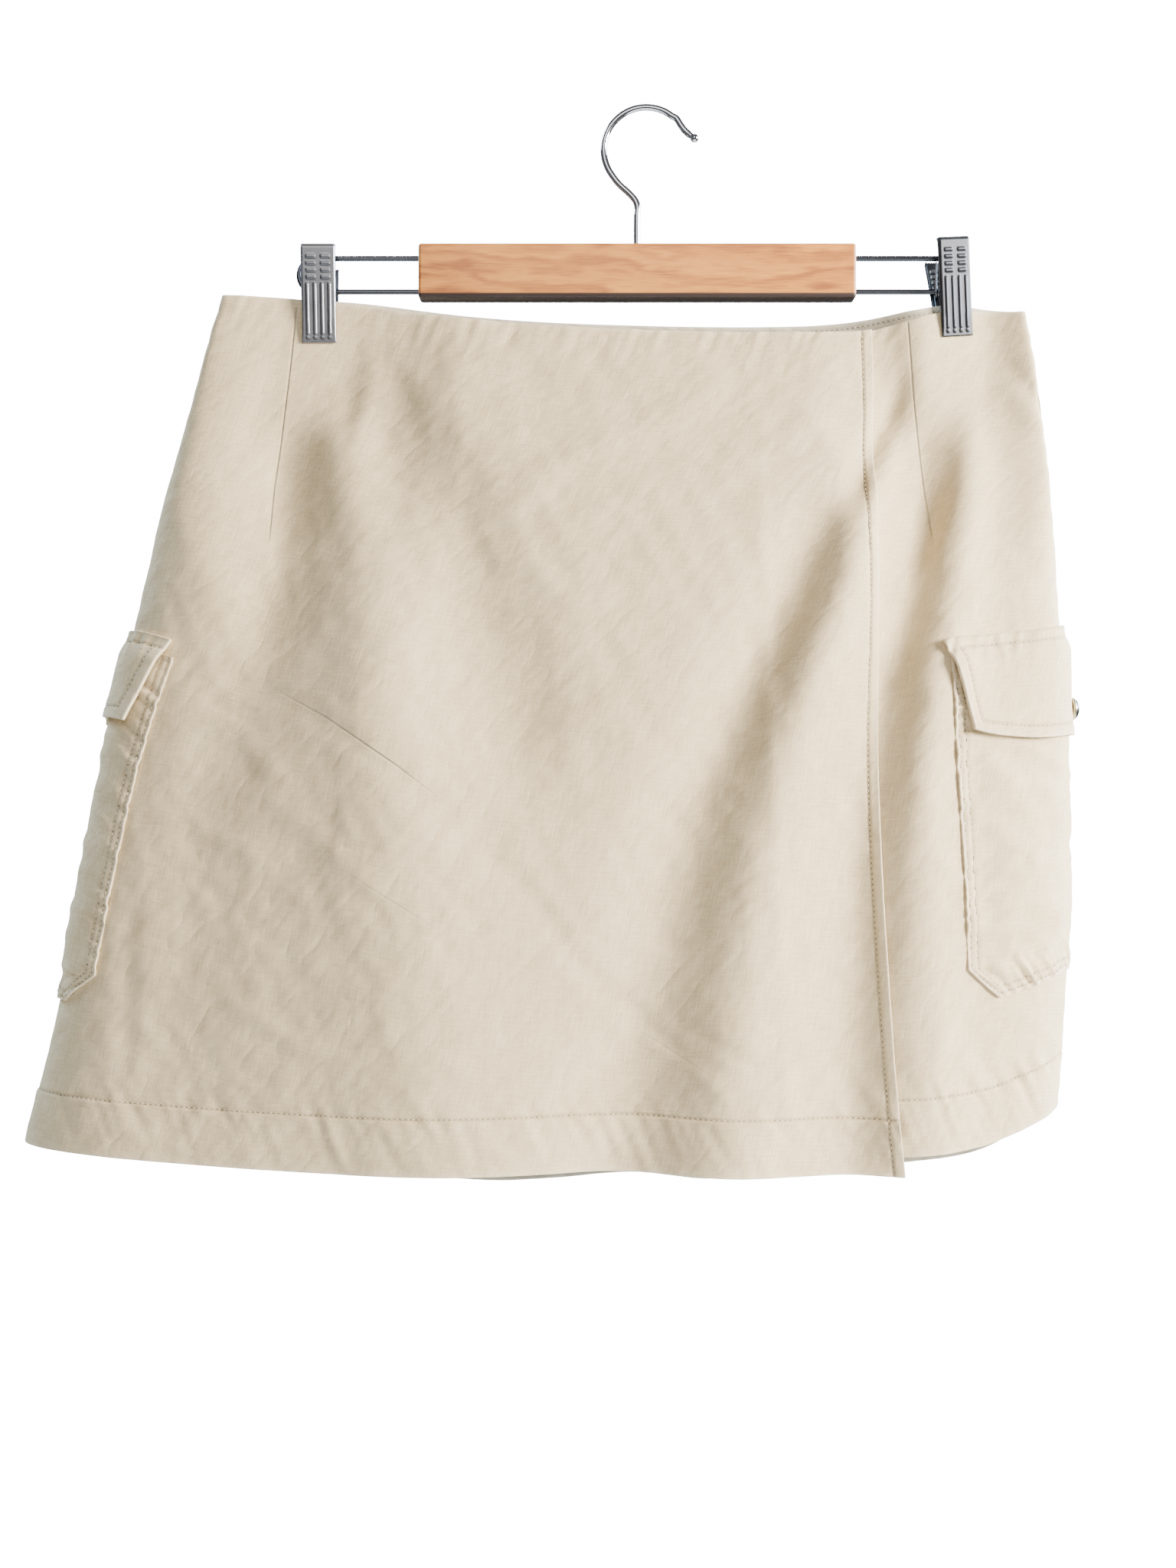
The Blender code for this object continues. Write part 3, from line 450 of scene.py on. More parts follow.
Clip = namedtuple("Clip", "x z_low turn lean")
CLIPS = {"left": Clip(-0.1656, -0.1212, 0.0, 0.0),
         "right": Clip(0.1662, -0.1176, math.radians(18.0), math.radians(7.0))}
PATCH_HALF = 0.0120     # cloth pressed flat either side of a clip's middle
PINCH_REACH = 0.068     # and it opens out again over this distance
PINCH_FALL = 0.35       # about three times as slowly going down
FLAT_HALF = 0.00155     # half the distance between front and back at a clip
END_ROUND = 0.0020      # least radius at a side, where front runs into back
TURN_FADE = 0.018       # a clip's turn swings the cloth this far beside it
TURN_FALL = 0.060       # and this far below it
SAG_ZONE = (-0.20, -0.08)       # the cloth's sag beside the left seam ends between these places
print("levels in the table:", len(SECTIONS), "folds:", len(FOLDS))

# %% [markdown]
# The same curves are worked out here on whole arrays of places at once, because a fine shell has
# tens of thousands of points.

# %% Curves and rings
def smooth(low, high, value):
    """0 before low, 1 after high, and a soft S between."""
    part = np.clip((value - low) / (high - low), 0.0, 1.0)
    return part * part * (3.0 - 2.0 * part)


def bell(away, half):
    """1 at 0, falling off softly both ways to a third at half."""
    return np.exp(-((away / half) ** 2))


def along(table, value):
    """A smooth curve through (position, amount) pairs, level past both ends."""
    spots, amounts = np.array(table, float).T
    slopes = np.empty_like(amounts)
    slopes[1:-1] = (amounts[2:] - amounts[:-2]) / (spots[2:] - spots[:-2])
    slopes[0] = (amounts[1] - amounts[0]) / (spots[1] - spots[0])
    slopes[-1] = (amounts[-1] - amounts[-2]) / (spots[-1] - spots[-2])
    value = np.clip(value, spots[0], spots[-1])
    index = np.clip(np.searchsorted(spots, value) - 1, 0, len(spots) - 2)
    span = spots[index + 1] - spots[index]
    u = (value - spots[index]) / span
    return ((2 * u**3 - 3 * u**2 + 1) * amounts[index] + (u**3 - 2 * u**2 + u) * slopes[index] * span
            + (3 * u**2 - 2 * u**3) * amounts[index + 1] + (u**3 - u**2) * slopes[index + 1] * span)


def section(level):
    """The table's row at any level, smoothed between its own levels."""
    return Section(*(float(along([(row.level, row[i]) for row in SECTIONS], level))
                     for i in range(len(Section._fields))))


def fold_offset(side, x, level):
    """How far all the folds of a side push the cloth out."""
    total = np.zeros_like(x)
    for fold in FOLDS:
        if fold.side == side:
            top, low = fold.path[0][0], fold.path[-1][0]
            wide = fold.wide_top + (fold.wide_low - fold.wide_top) * smooth(top, low, level)
            grow = smooth(top - 0.02, top + FOLD_RISE, level) * (1.0 - smooth(low, low + FOLD_RISE, level))
            total += FOLD_FULL * fold.height * grow * bell(x - along(fold.path, level), wide)
    return total


def pinch(x, z):
    """0 where a clip presses front and back together, 1 well away from both."""
    openness = np.ones_like(x)
    for clip in CLIPS.values():
        aside = np.maximum(np.abs(x - clip.x) - PATCH_HALF, 0.0)
        below = np.maximum(clip.z_low - 0.002 - z, 0.0) * PINCH_FALL
        openness *= smooth(0.0, PINCH_REACH, np.hypot(aside, below))
    return openness


def clip_turn(x, z):
    """How far the middle plane swings where a clip is turned."""
    shift = np.zeros_like(x)
    for clip in CLIPS.values():
        beside = x - clip.x
        fade = bell(np.maximum(np.abs(beside) - PATCH_HALF, 0.0), TURN_FADE)
        fall = bell(np.maximum(clip.z_low - z, 0.0), TURN_FALL)
        shift += math.tan(clip.turn) * beside * fade * fall
    return shift


def front_hem(x):
    """The wrap's hem, and past its free edge the under front's."""
    past = smooth(WRAP_EDGE[-1][1] + 0.001, WRAP_EDGE[-1][1] + 0.030, x)
    return along(WRAP_HEM, x) * (1.0 - past) + along(UNDER_HEM, x) * past


def ring_side(side, level, angles):
    """Points of the front or back at a level; angle 0 is the left end and pi the right one."""
    row = section(level)
    turn = np.cos(angles)
    blunt = np.where(turn > 0, row.blunt_left, row.blunt_right)
    middle, half = 0.5 * (row.right + row.left), 0.5 * (row.right - row.left)
    x = middle - half * np.sign(turn) * np.abs(turn) ** (2 / blunt)
    end = np.maximum(np.sin(angles), 0.0) ** (2.0 / blunt)
    if side == "front":
        waist, hem, depth, sign = along(FRONT_WAIST, x), front_hem(x), row.front, -1.0
    else:
        waist, hem, depth, sign = along(BACK_WAIST, x), along(BACK_HEM, x), row.back, 1.0
    left_zone = smooth(row.left + 0.002, row.left + 0.045, x) * (1.0 - smooth(*SAG_ZONE, x))
    z = waist + level * (hem - waist) - row.grain_drop * left_zone
    to_end = np.clip(np.minimum(x - row.left, row.right - x) / END_ROUND, 0.0, 1.0)
    cap = np.sqrt(1.0 - (1.0 - to_end) ** 2)
    open_here = pinch(x, z)
    bulge = (depth - FLAT_HALF) * open_here * end
    bulge += fold_offset(side, x, level) * end * smooth(0.0, 0.22, open_here)
    return np.stack([x, sign * (FLAT_HALF * cap + bulge) + clip_turn(x, z), z], axis=1)


class Ring:
    """One turn of the skirt, with places measured round it from its left end."""

    def __init__(self, level):
        self.level, self.row = level, section(level)
        angles = np.linspace(0.0, math.pi, 241)
        front = ring_side("front", level, angles)
        back = ring_side("back", level, angles)[::-1]
        turn = np.vstack([front, back[1:]])
        lengths = np.concatenate([[0.0], np.cumsum(np.linalg.norm(np.diff(turn, axis=0), axis=1))])
        self.front_length, self.whole = lengths[len(front) - 1], lengths[-1]
        self.front_x, self.front_lengths = front[:, 0], lengths[:len(front)]
        self.lengths = np.concatenate([lengths - self.whole, lengths[1:], lengths[1:] + self.whole])
        self.turn = np.vstack([turn, turn[1:], turn[1:]])

    def at(self, distance):
        return np.stack([np.interp(distance, self.lengths, self.turn[:, i]) for i in range(3)], axis=1)

    def left_seam(self):
        return -self.row.seam_back

    def right_seam(self):
        return self.front_length

    def wrap_edge(self):
        return np.interp(float(along(WRAP_EDGE, self.level)), self.front_x, self.front_lengths)


waist_ring, hem_ring = Ring(0.0), Ring(1.0)
print("round the waist:", round(waist_ring.whole, 3), "m, round the hem:", round(hem_ring.whole, 3), "m")

# %% [markdown]
# ## Creases laid one by one
# On top of the folds lie the creases that the cloth took on while it was folded away: a long one
# that runs down from the flap towards the hem, a soft one under the waist, and short ones that
# pull at the clips and at the ends of seams. Each is a line in the plane of its side, with a
# width, a height (minus for a furrow) and a lean, which raises one bank and lowers the other.
# They could be sculpted, but as rows of a table they can be moved and compared. The back has
# creases like these, placed apart from the front's.

# %% Creases
Crease = namedtuple("Crease", "side path width height lean")
CREASES = [Crease(*row) for row in (
    ("front", ((-0.1590, -0.112), (-0.1480, -0.170), (-0.1440, -0.240)), 0.0110, 0.0012, 0.0),
    ("front", ((0.058, -0.139), (0.017, -0.163), (-0.036, -0.190), (-0.080, -0.223)), 0.0080, 0.0011, 0.3),
    ("front", ((-0.236, -0.279), (-0.184, -0.303), (-0.146, -0.323), (-0.080, -0.374)), 0.0060, -0.0004, 0.9),
    ("front", ((-0.110, -0.350), (-0.060, -0.398), (-0.029, -0.437), (0.047, -0.511)), 0.0060, -0.0006, 0.6),
    ("front", ((-0.1445, -0.352), (-0.1464, -0.436)), 0.0060, 0.0004, 0.3),
    ("front", ((-0.2540, -0.395), (-0.2556, -0.505)), 0.0070, -0.0008, 0.7),
    ("front", ((-0.200, -0.345), (-0.160, -0.372), (-0.120, -0.410)), 0.0060, 0.0006, 0.5),
    ("front", ((-0.215, -0.310), (-0.170, -0.352)), 0.0070, 0.0007, 0.4),
    ("front", ((-0.232, -0.365), (-0.190, -0.385), (-0.150, -0.424)), 0.0065, 0.0006, 0.5),
    ("front", ((-0.060, -0.205), (-0.020, -0.262)), 0.0090, -0.0005, 0.3),
    ("front", ((0.020, -0.205), (0.064, -0.182)), 0.0080, 0.0006, 0.3),
    ("front", ((-0.040, -0.220), (-0.032, -0.345)), 0.0180, 0.0010, 0.0),
    ("front", ((0.180, -0.117), (0.197, -0.136), (0.214, -0.154), (0.226, -0.168)), 0.0055, -0.0014, 0.3),
    ("front", ((0.152, -0.128), (0.166, -0.190)), 0.0070, 0.0010, 0.0),
    ("front", ((-0.178, -0.126), (-0.205, -0.182)), 0.0080, -0.0010, 0.2),
    ("front", ((-0.128, -0.122), (-0.020, -0.152)), 0.0090, -0.0007, 0.2),
    ("front", ((-0.005, -0.470), (0.048, -0.507)), 0.0045, 0.0008, 0.4),
    ("front", ((0.010, -0.462), (0.066, -0.494)), 0.0040, -0.0006, 0.4),
    ("front", ((0.075, -0.420), (0.112, -0.452)), 0.0050, 0.0006, 0.3),
    ("front", ((-0.215, -0.452), (-0.150, -0.486)), 0.0060, 0.0006, 0.4),
    ("front", ((-0.020, -0.345), (0.030, -0.372)), 0.0070, -0.0005, 0.3),
    ("front", ((0.062, -0.131), (0.0665, -0.330), (0.073, -0.512)), 0.0042, 0.0004, 0.4),
    ("front", ((0.150, -0.380), (0.176, -0.440)), 0.0060, 0.0006, 0.2),
    ("front", ((0.154, -0.125), (0.1375, -0.155), (0.1205, -0.186), (0.108, -0.220)), 0.0085, -0.0040, 0.6),
    ("front", ((0.170, -0.145), (0.164, -0.1818), (0.156, -0.212), (0.144, -0.250)), 0.0070, -0.0018, 0.5),
    ("front", ((0.100, -0.156), (0.084, -0.170), (0.056, -0.184)), 0.0060, 0.0008, 0.4),
    ("back", ((-0.1590, -0.112), (-0.1500, -0.170), (-0.1460, -0.240)), 0.0120, 0.0022, 0.0),
    ("back", ((0.1600, -0.112), (0.1500, -0.180), (0.1440, -0.260)), 0.0120, 0.0022, 0.0),
    ("back", ((-0.030, -0.150), (-0.080, -0.190), (-0.130, -0.212)), 0.0080, 0.0011, 0.3),
    ("back", ((0.205, -0.310), (0.140, -0.345), (0.060, -0.402), (0.010, -0.455)), 0.0050, -0.0010, 0.8),
    ("back", ((-0.225, -0.330), (-0.170, -0.372), (-0.120, -0.430)), 0.0060, 0.0009, 0.6),
    ("back", ((0.110, -0.170), (0.122, -0.250)), 0.0070, 0.0008, 0.0),
    ("back", ((-0.020, -0.300), (0.006, -0.420)), 0.0120, -0.0009, 0.2),
    ("back", ((0.030, -0.470), (0.090, -0.512)), 0.0045, 0.0008, 0.4),
    ("back", ((-0.100, -0.480), (-0.040, -0.520)), 0.0050, -0.0007, 0.4),
    ("back", ((0.150, -0.130), (0.112, -0.180)), 0.0080, -0.0010, 0.2),
    ("back", ((-0.152, -0.128), (-0.110, -0.176)), 0.0080, 0.0010, 0.2),
)]


def line_place(x, z, path):
    """Signed distance from a line of points, and how far along it the nearest place is, 0 to 1."""
    points = np.array(path)
    steps = np.linalg.norm(np.diff(points, axis=0), axis=1)
    starts = np.concatenate([[0.0], np.cumsum(steps)])
    nearest, signed, share = np.full(x.shape, 9.0), np.zeros(x.shape), np.zeros(x.shape)
    for (ax, az), (bx, bz), step, start in zip(points, points[1:], steps, starts):
        ux, uz = (bx - ax) / step, (bz - az) / step
        part = (x - ax) * ux + (z - az) * uz
        held = np.clip(part, 0.0, step)
        away = np.hypot(x - ax - held * ux, z - az - held * uz)
        closer = away < nearest
        side = np.sign((x - ax) * uz - (z - az) * ux)
        nearest = np.where(closer, away, nearest)
        signed = np.where(closer, away * side, signed)
        share = np.where(closer, (start + held) / starts[-1], share)
    return signed, share


def crease_relief(side, x, z):
    """How far all the creases of a side lift the cloth."""
    total = np.zeros(x.shape)
    for crease in CREASES:
        if crease.side == side:
            away, share = line_place(x, z, crease.path)
            fade = smooth(0.0, 0.25, share) * smooth(0.0, 0.25, 1.0 - share)
            tilt = 1.0 + 1.6 * crease.lean * away / crease.width
            total += crease.height * fade * tilt * bell(away, crease.width)
    return total


# %% [markdown]
# Two kinds of line are too sharp for the grid: the crests of the sharpest creases, and the seam of
# each dart, a narrow fold taken out of the waist. A grid fine enough for them would be too heavy,
# so they are kept as lines, each with a depth and a share of soft ends, and the material draws them
# as a shallow bump with painted shade along it and a painted highlight beside it.
# The front's darts are where they show, and the back is given a pair like them.

# %% Sharp lines
DARTS = {
    "front": (((-0.1775, -0.102), (-0.1815, -0.139), (-0.1884, -0.197), (-0.1902, -0.230)),
              ((0.1402, -0.111), (0.1440, -0.160), (0.1485, -0.195), (0.1525, -0.229))),
    "back": (((-0.1150, -0.106), (-0.1200, -0.165), (-0.1235, -0.212)),
             ((0.1050, -0.108), (0.1090, -0.165), (0.1120, -0.212))),
}
LINES = {side: [(path, 1.0, 0.01) for path in DARTS[side]] for side in DARTS}
LINES["front"] += [(((-0.190, -0.300), (-0.1557, -0.3180), (-0.120, -0.342), (-0.093, -0.363)), 1.0, 0.4),
                   (((-0.152, -0.390), (-0.090, -0.428)), 0.25, 0.4),
                   (((-0.010, -0.468), (0.044, -0.500)), 0.3, 0.5)]
LINES["back"] += [(((0.205, -0.310), (0.140, -0.345), (0.060, -0.402)), 0.7, 0.5)]
LINE_REACH = (0.0030, 0.0060)       # a line's depth fades out between these distances from it


def sharp_lines(side, x, z):
    """Distance to the nearest line, and its depth, which is 0 away from it."""
    nearest, depth = np.full(x.shape, 0.01), np.zeros(x.shape)
    for path, deep, ends in LINES[side]:
        away, share = line_place(x, z, path)
        closer = np.abs(away) < np.abs(nearest)
        here = deep * smooth(0.0, ends, share) * (1.0 - smooth(1.0 - max(ends, 0.10), 1.0, share))
        here *= 1.0 - smooth(*LINE_REACH, np.abs(away))
        nearest, depth = np.where(closer, away, nearest), np.where(closer, here, depth)
    return nearest, depth


print("creases:", len(CREASES), "sharp lines:", {side: len(lines) for side, lines in LINES.items()})

# %% [markdown]
# ## Small waves
# Washed cotton is never quite flat. Two sizes of soft noise give it a hand's breadth of unevenness
# and a fingertip's, and a third, folded at its middle, gives faint sharp ridges. Sewing draws the
# cloth up into short waves beside every seam: pucker() makes them, uneven in size, slanting as the
# thread's pull slants them. All this is true relief, so that it also shows at the outline.

# %% Small waves
def soft_noise(across, down, size, seed):
    """Noise from -1 to 1 over whole arrays, with soft lumps of the given size in metres."""
    flat = np.stack([across.ravel() / size, down.ravel() / size], axis=1)
    values = [noise.noise((a, b, seed)) for a, b in flat.tolist()]
    return np.array(values).reshape(across.shape)


def unevenness(across, down, seed):
    broad = soft_noise(across + 0.4 * down, down * 0.8, 0.034, seed)
    fine = soft_noise(across * 0.8 + down * 0.7, down - 0.6 * across, 0.0125, seed + 7.0)
    ridged = np.abs(soft_noise(across - 0.9 * down, 0.35 * (down + 0.9 * across), 0.020, seed + 13.0))
    return 0.00050 * broad + 0.00030 * fine - 0.00060 * ridged


def pucker(run, away, reach, pitch, slant, height, seed):
    """Waves beside a seam: run is the place along it, away the distance from it."""
    uneven = soft_noise(run + slant * away, 0.0 * away, 2.2 * pitch, seed)
    waves = soft_noise(run + slant * away, 0.15 * away, 0.55 * pitch, seed + 3.0)
    return height * waves * (0.55 + 0.9 * np.abs(uneven)) * bell(away, reach)


def groove(away, half, depth):
    return -depth * bell(away, half)


# %% [markdown]
# ## Cutting and sewing a shell
# A piece is a grid of places on the rings. Its relief moves each place out or in, and the shell
# then gets its thickness and a rounded rim. A Solidify modifier could thicken it, but its rim is
# square. A hem or a flap is cloth on cloth, so its rim has the line between two layers. The grid's
# own distances, in metres, become the map of the flat cloth.

# %% Shells
RIMS = {1: ((0.0, 0.0), (0.25, 0.34), (0.75, 0.34), (1.0, 0.0)),
        2: ((0.0, 0.0), (0.14, 0.22), (0.36, 0.22), (0.5, 0.02), (0.64, 0.22), (0.86, 0.22), (1.0, 0.0))}


def unit(vectors):
    return vectors / np.maximum(np.linalg.norm(vectors, axis=-1, keepdims=True), 1e-9)


class Piece:
    """The grid of one sewn piece: levels down it, distances across it, and its outer surface."""

    def __init__(self, levels, distances_at):
        self.levels = levels
        rings = [Ring(level) for level in levels]
        self.distance = np.array([distances_at(ring) for ring in rings])
        self.base = np.array([ring.at(row) for ring, row in zip(rings, self.distance)])
        self.normal = unit(np.cross(np.gradient(self.base, axis=0), np.gradient(self.base, axis=1)))
        self.x, self.z = self.base[..., 0], self.base[..., 2]
        self.points = self.base.copy()
        down = np.linalg.norm(np.diff(self.base, axis=0), axis=2)
        self.down = np.vstack([np.zeros(self.distance.shape[1]), np.cumsum(down, axis=0)])
        self.up = self.down[-1] - self.down
        self.looks = {name: np.zeros(self.x.shape) for name in ("wear", "sunk", "line", "line_depth")}

    def look(self, name, amount):
        self.looks[name] = np.clip(self.looks[name] + amount, -1.0, 1.0)

    def lift(self, amount):
        self.points = self.points + self.normal * amount[..., None]

    def at(self, level, distance):
        """A place on the outer surface and the direction out of it there."""
        row = float(np.interp(level, self.levels, range(len(self.levels))))
        low = min(int(row), len(self.levels) - 2)
        place = np.zeros(6)
        for index, share in ((low, 1.0 - row + low), (low + 1, row - low)):
            both = np.hstack([self.points[index], self.normal[index]])
            place += share * np.array([np.interp(distance, self.distance[index], part) for part in both.T])
        return place[:3], place[3:] / np.linalg.norm(place[3:])


def border(rows, columns):
    """The grid's outline as (row, column), and the place next to each one inside."""
    outline = [(0, c) for c in range(columns)] + [(r, columns - 1) for r in range(1, rows)]
    outline += [(rows - 1, c) for c in range(columns - 2, -1, -1)] + [(r, 0) for r in range(rows - 2, 0, -1)]
    inside = [(min(max(r, 1), rows - 2), min(max(c, 1), columns - 2)) for r, c in outline]
    return outline, inside


def shell_mesh(name, points, normal, thickness, rim, cut, looks):
    """Outer skin, inner skin and a rim between them, as one closed mesh."""
    rows, columns = points.shape[:2]
    outline, inside = border(rows, columns)
    edge = np.array([points[place] for place in outline])
    away = unit(edge - np.array([points[place] for place in inside]))
    edge_normal = np.array([normal[place] for place in outline])
    edge_cut = np.array([cut[place] for place in outline])
    layers = [edge - edge_normal * thickness * deep + away * thickness * out for deep, out in rim[1:-1]]
    verts = np.vstack([points.reshape(-1, 3), (points - normal * thickness).reshape(-1, 3), *layers])
    grid = np.arange(rows * columns).reshape(rows, columns)
    quads = np.stack([grid[:-1, :-1], grid[1:, :-1], grid[1:, 1:], grid[:-1, 1:]], axis=-1).reshape(-1, 4)
    flipped = quads[:, ::-1] + rows * columns
    outer = np.array([grid[place] for place in outline])
    count = len(outline)
    rings = [outer] + [2 * rows * columns + count * i + np.arange(count) for i in range(len(layers))]
    rings.append(outer + rows * columns)
    strips = [np.stack([a, np.roll(a, -1), np.roll(b, -1), b], axis=-1) for a, b in zip(rings, rings[1:])]
    faces = np.vstack([quads, flipped, *strips])
    mesh = bpy.data.meshes.new(name)
    mesh.from_pydata(verts.tolist(), [], faces.tolist())
    mesh.polygons.foreach_set("use_smooth", [True] * len(faces))
    slots = [0] * len(quads) + [1] * len(flipped) + [0] * (len(faces) - 2 * len(quads))
    mesh.polygons.foreach_set("material_index", slots)
    flat_cut = np.vstack([cut.reshape(-1, 2), cut.reshape(-1, 2), *[edge_cut] * len(layers)])
    loops = np.empty(len(mesh.loops), dtype=np.int32)
    mesh.loops.foreach_get("vertex_index", loops)
    mesh.uv_layers.new(name="cut").data.foreach_set("uv", flat_cut[loops].ravel())
    for look, values in looks.items():
        rim_value = 0.4 if look == "wear" else 0.0
        whole = np.concatenate([values.ravel(), values.ravel(), np.full(count * len(layers), rim_value)])
        mesh.attributes.new(look, "FLOAT", "POINT").data.foreach_set("value", whole)
    return mesh


def add_piece(name, mesh, materials, replaced=()):
    """Put a finished mesh in the scene as a piece of the part."""
    item = bpy.data.objects.new(name, mesh)
    for material in materials:
        mesh.materials.append(material)
    bpy.context.scene.collection.objects.link(item)
    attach(item, "root")
    if replaced:
        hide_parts(*replaced)
    return item


def sew(name, piece, thickness, layers, materials=(CLOTH, CLOTH_INSIDE)):
    """Turn a piece's grid into its shell. The grid is the middle of the wall, so it moves out by half."""
    piece.lift(np.full(piece.x.shape, 0.5 * thickness))
    cut = np.stack([piece.distance, -piece.down], axis=-1)
    mesh = shell_mesh(name, piece.points, piece.normal, thickness, RIMS[layers], cut, piece.looks)
    item = add_piece(f"{name}_cloth", mesh, materials, (name,))
    area = 0.5 * sum(polygon.area for polygon in mesh.polygons)
    print(f"{name}: {len(mesh.polygons)} faces, {area:.3f} m2 of cloth")
    return item


# %% [markdown]
# ## Stitches
# Lockstitch shows as short separate dashes that sink at both ends, with a dark needle hole between
# one and the next; the hole's darkness is painted shade. A material could draw them, but real
# threads catch the light and stand out at an edge. Both are small spindles. They are placed along
# a line given as (level, distance) on a piece, so they sit on the finished surface, in the furrow
# that their pull makes. A whole seam is one mesh.

# %% Stitches
STITCH = 0.0027         # from one stitch to the next
THREAD_HALF = 0.00026
THREAD_SPAN = (0.10, 0.72)      # where a thread starts and ends, in steps
HOLE_SPAN = (0.74, 1.08)        # and the needle hole after it
HOLE_SUNK = 0.00007
SAMPLE = 0.004                  # between the points of a stitch line


def spindle(start, end, out):
    """Points of one stitch: three rings of six, arched along its length."""
    ahead = unit(end - start)
    aside = np.cross(ahead, out)
    points = []
    for share, thick, rise in ((0.0, 0.45, -0.00016), (0.5, 1.0, 0.00011), (1.0, 0.45, -0.00016)):
        centre = start + (end - start) * share + out * rise
        for step in range(6):
            angle = math.pi * step / 3.0
            points.append(centre + THREAD_HALF * thick * (aside * math.cos(angle) + out * math.sin(angle)))
    return points


SPINDLE_FACES = [(6 * r + s, 6 * r + (s + 1) % 6, 6 * r + 6 + (s + 1) % 6, 6 * r + 6 + s)
                 for r in range(2) for s in range(6)] + [(5, 4, 3, 2, 1, 0), (12, 13, 14, 15, 16, 17)]


def stitch_points(piece, line):
    """Spindles at even steps along a line on a piece: threads, and the holes between them."""
    places = [piece.at(level, distance) for level, distance in line]
    points, outs = np.array([p for p, _ in places]), np.array([o for _, o in places])
    runs = np.concatenate([[0.0], np.cumsum(np.linalg.norm(np.diff(points, axis=0), axis=1))])

    def spot(run, values):
        return np.array([np.interp(run, runs, values[:, axis]) for axis in range(3)])

    threads, holes = [], []
    for i in range(int(runs[-1] / STITCH)):
        out = unit(spot((i + 0.5) * STITCH, outs))
        thread_ends = [spot((i + share) * STITCH, points) for share in THREAD_SPAN]
        hole_ends = [spot((i + share) * STITCH, points) - out * HOLE_SUNK for share in HOLE_SPAN]
        threads.append(spindle(*thread_ends, out))
        holes.append(spindle(*hole_ends, out))
    return threads, holes


def sew_stitches(name, piece, lines):
    found = [stitch_points(piece, line) for line in lines]
    threads = [points for row, _ in found for points in row]
    holes = [points for _, row in found for points in row]
    verts = [tuple(point) for points in threads + holes for point in points]
    count = len(threads) + len(holes)
    faces = [tuple(18 * i + v for v in face) for i in range(count) for face in SPINDLE_FACES]
    mesh = bpy.data.meshes.new(name)
    mesh.from_pydata(verts, [], faces)
    mesh.polygons.foreach_set("use_smooth", [True] * len(faces))
    slots = [int(i >= len(threads)) for i in range(count) for _ in SPINDLE_FACES]
    mesh.polygons.foreach_set("material_index", slots)
    item = add_piece(name, mesh, (THREAD_MATERIAL, NEEDLE_HOLE_SHADE))
    print(f"{name}: {len(threads)} stitches")
    return item


# %% [markdown]
# ## The three panels
# The wrap front runs from the left side seam to its free edge, the under front from beneath it to
# the right side seam, and the back all the rest of the way. All have the same turned-up hem. An
# even grid fine enough for a hem's furrow would be far too heavy, so rows and columns crowd
# together only where something fine happens: at the hem's stitching, the waist's fold, the side
# seams and the free edge.

# %% Panel grids
PANEL = 0.0012
HEM = 0.0280            # depth of the turned-up hem
UNDERLAP = 0.060
UNDER_GAP = 0.00192     # from the middle of the wrap's wall to the middle of the under front's
EDGE_STITCH = 0.0052
LEVELS = np.unique(np.round(np.concatenate([
    np.linspace(0.0, 1.0, 163), np.linspace(0.0, 0.012, 6), np.linspace(0.930, 0.944, 13),
    np.linspace(0.992, 1.0, 5)]), 4))
NEAR_SEAM = np.array([0.00018, 0.0008, 0.0018, 0.0032, 0.0048])
NEAR_EDGE = np.array([0.0, 0.0006, 0.0014, 0.0024, 0.0034, 0.0042, 0.0047, 0.0052, 0.0057, 0.0062,
                      0.0072, 0.0088])


def fit(ring_columns, count):
    """Stretch a row's middle columns so that every row has the same number."""
    head, tail = ring_columns
    return np.concatenate([head, np.linspace(head[-1], tail[0], count + 2)[1:-1], tail])


def wrap_columns(ring):
    return fit((ring.left_seam() + NEAR_SEAM, ring.wrap_edge() - NEAR_EDGE[::-1]), 206)


def under_columns(ring):
    return fit((ring.wrap_edge() - UNDERLAP + NEAR_EDGE, ring.right_seam() - NEAR_SEAM[::-1]), 92)


def back_columns(ring):
    return fit((ring.right_seam() + NEAR_SEAM, ring.whole + ring.left_seam() - NEAR_SEAM[::-1]), 206)


# %% [markdown]
# The cloth is drawn in a little towards a dart's seam, and puffs out softly at its point. A hem
# is a doubled band with a furrow of stitches along its top and slanting waves on both sides. Each
# of these is a sum of soft bells round a distance, so that one can be changed without the rest.
# Where a clip presses the cloth, all of it is calmed.

# %% Relief of a panel
def dart_relief(side, x, z):
    total = np.zeros(x.shape)
    for path in DARTS[side]:
        away, share = line_place(x, z, path)
        fade = 1.0 - smooth(0.86, 1.0, share)
        total += fade * (groove(away, 0.0050, 0.00050) + 0.0003 * bell(away - 0.0034, 0.0020))
        point_x, point_z = path[-1]
        total += 0.0007 * bell(x - point_x, 0.011) * bell(z - point_z + 0.004, 0.015)
    return total


def hem_relief(piece, seed):
    """A doubled band below the stitching, a furrow at it, and slanting waves both ways from it."""
    away = piece.up - HEM
    band = 0.00045 * (1.0 - smooth(-0.0012, 0.0004, away))
    waves = pucker(piece.distance, away, 0.0100, 0.010, 0.9, 0.00095, seed)
    lower = pucker(piece.distance, away + 0.012, 0.0150, 0.0095, 0.7, 0.0012, seed + 11.0)
    return band + waves + lower + groove(away, 0.0009, 0.00042)


def waist_relief(piece, seed):
    """Fine upright waves under the waist's folded edge."""
    waves = pucker(piece.distance, piece.down - 0.002, 0.0170, 0.0085, 0.1, 0.00110, seed)
    return waves + groove(piece.down - 0.0095, 0.0016, 0.00025)


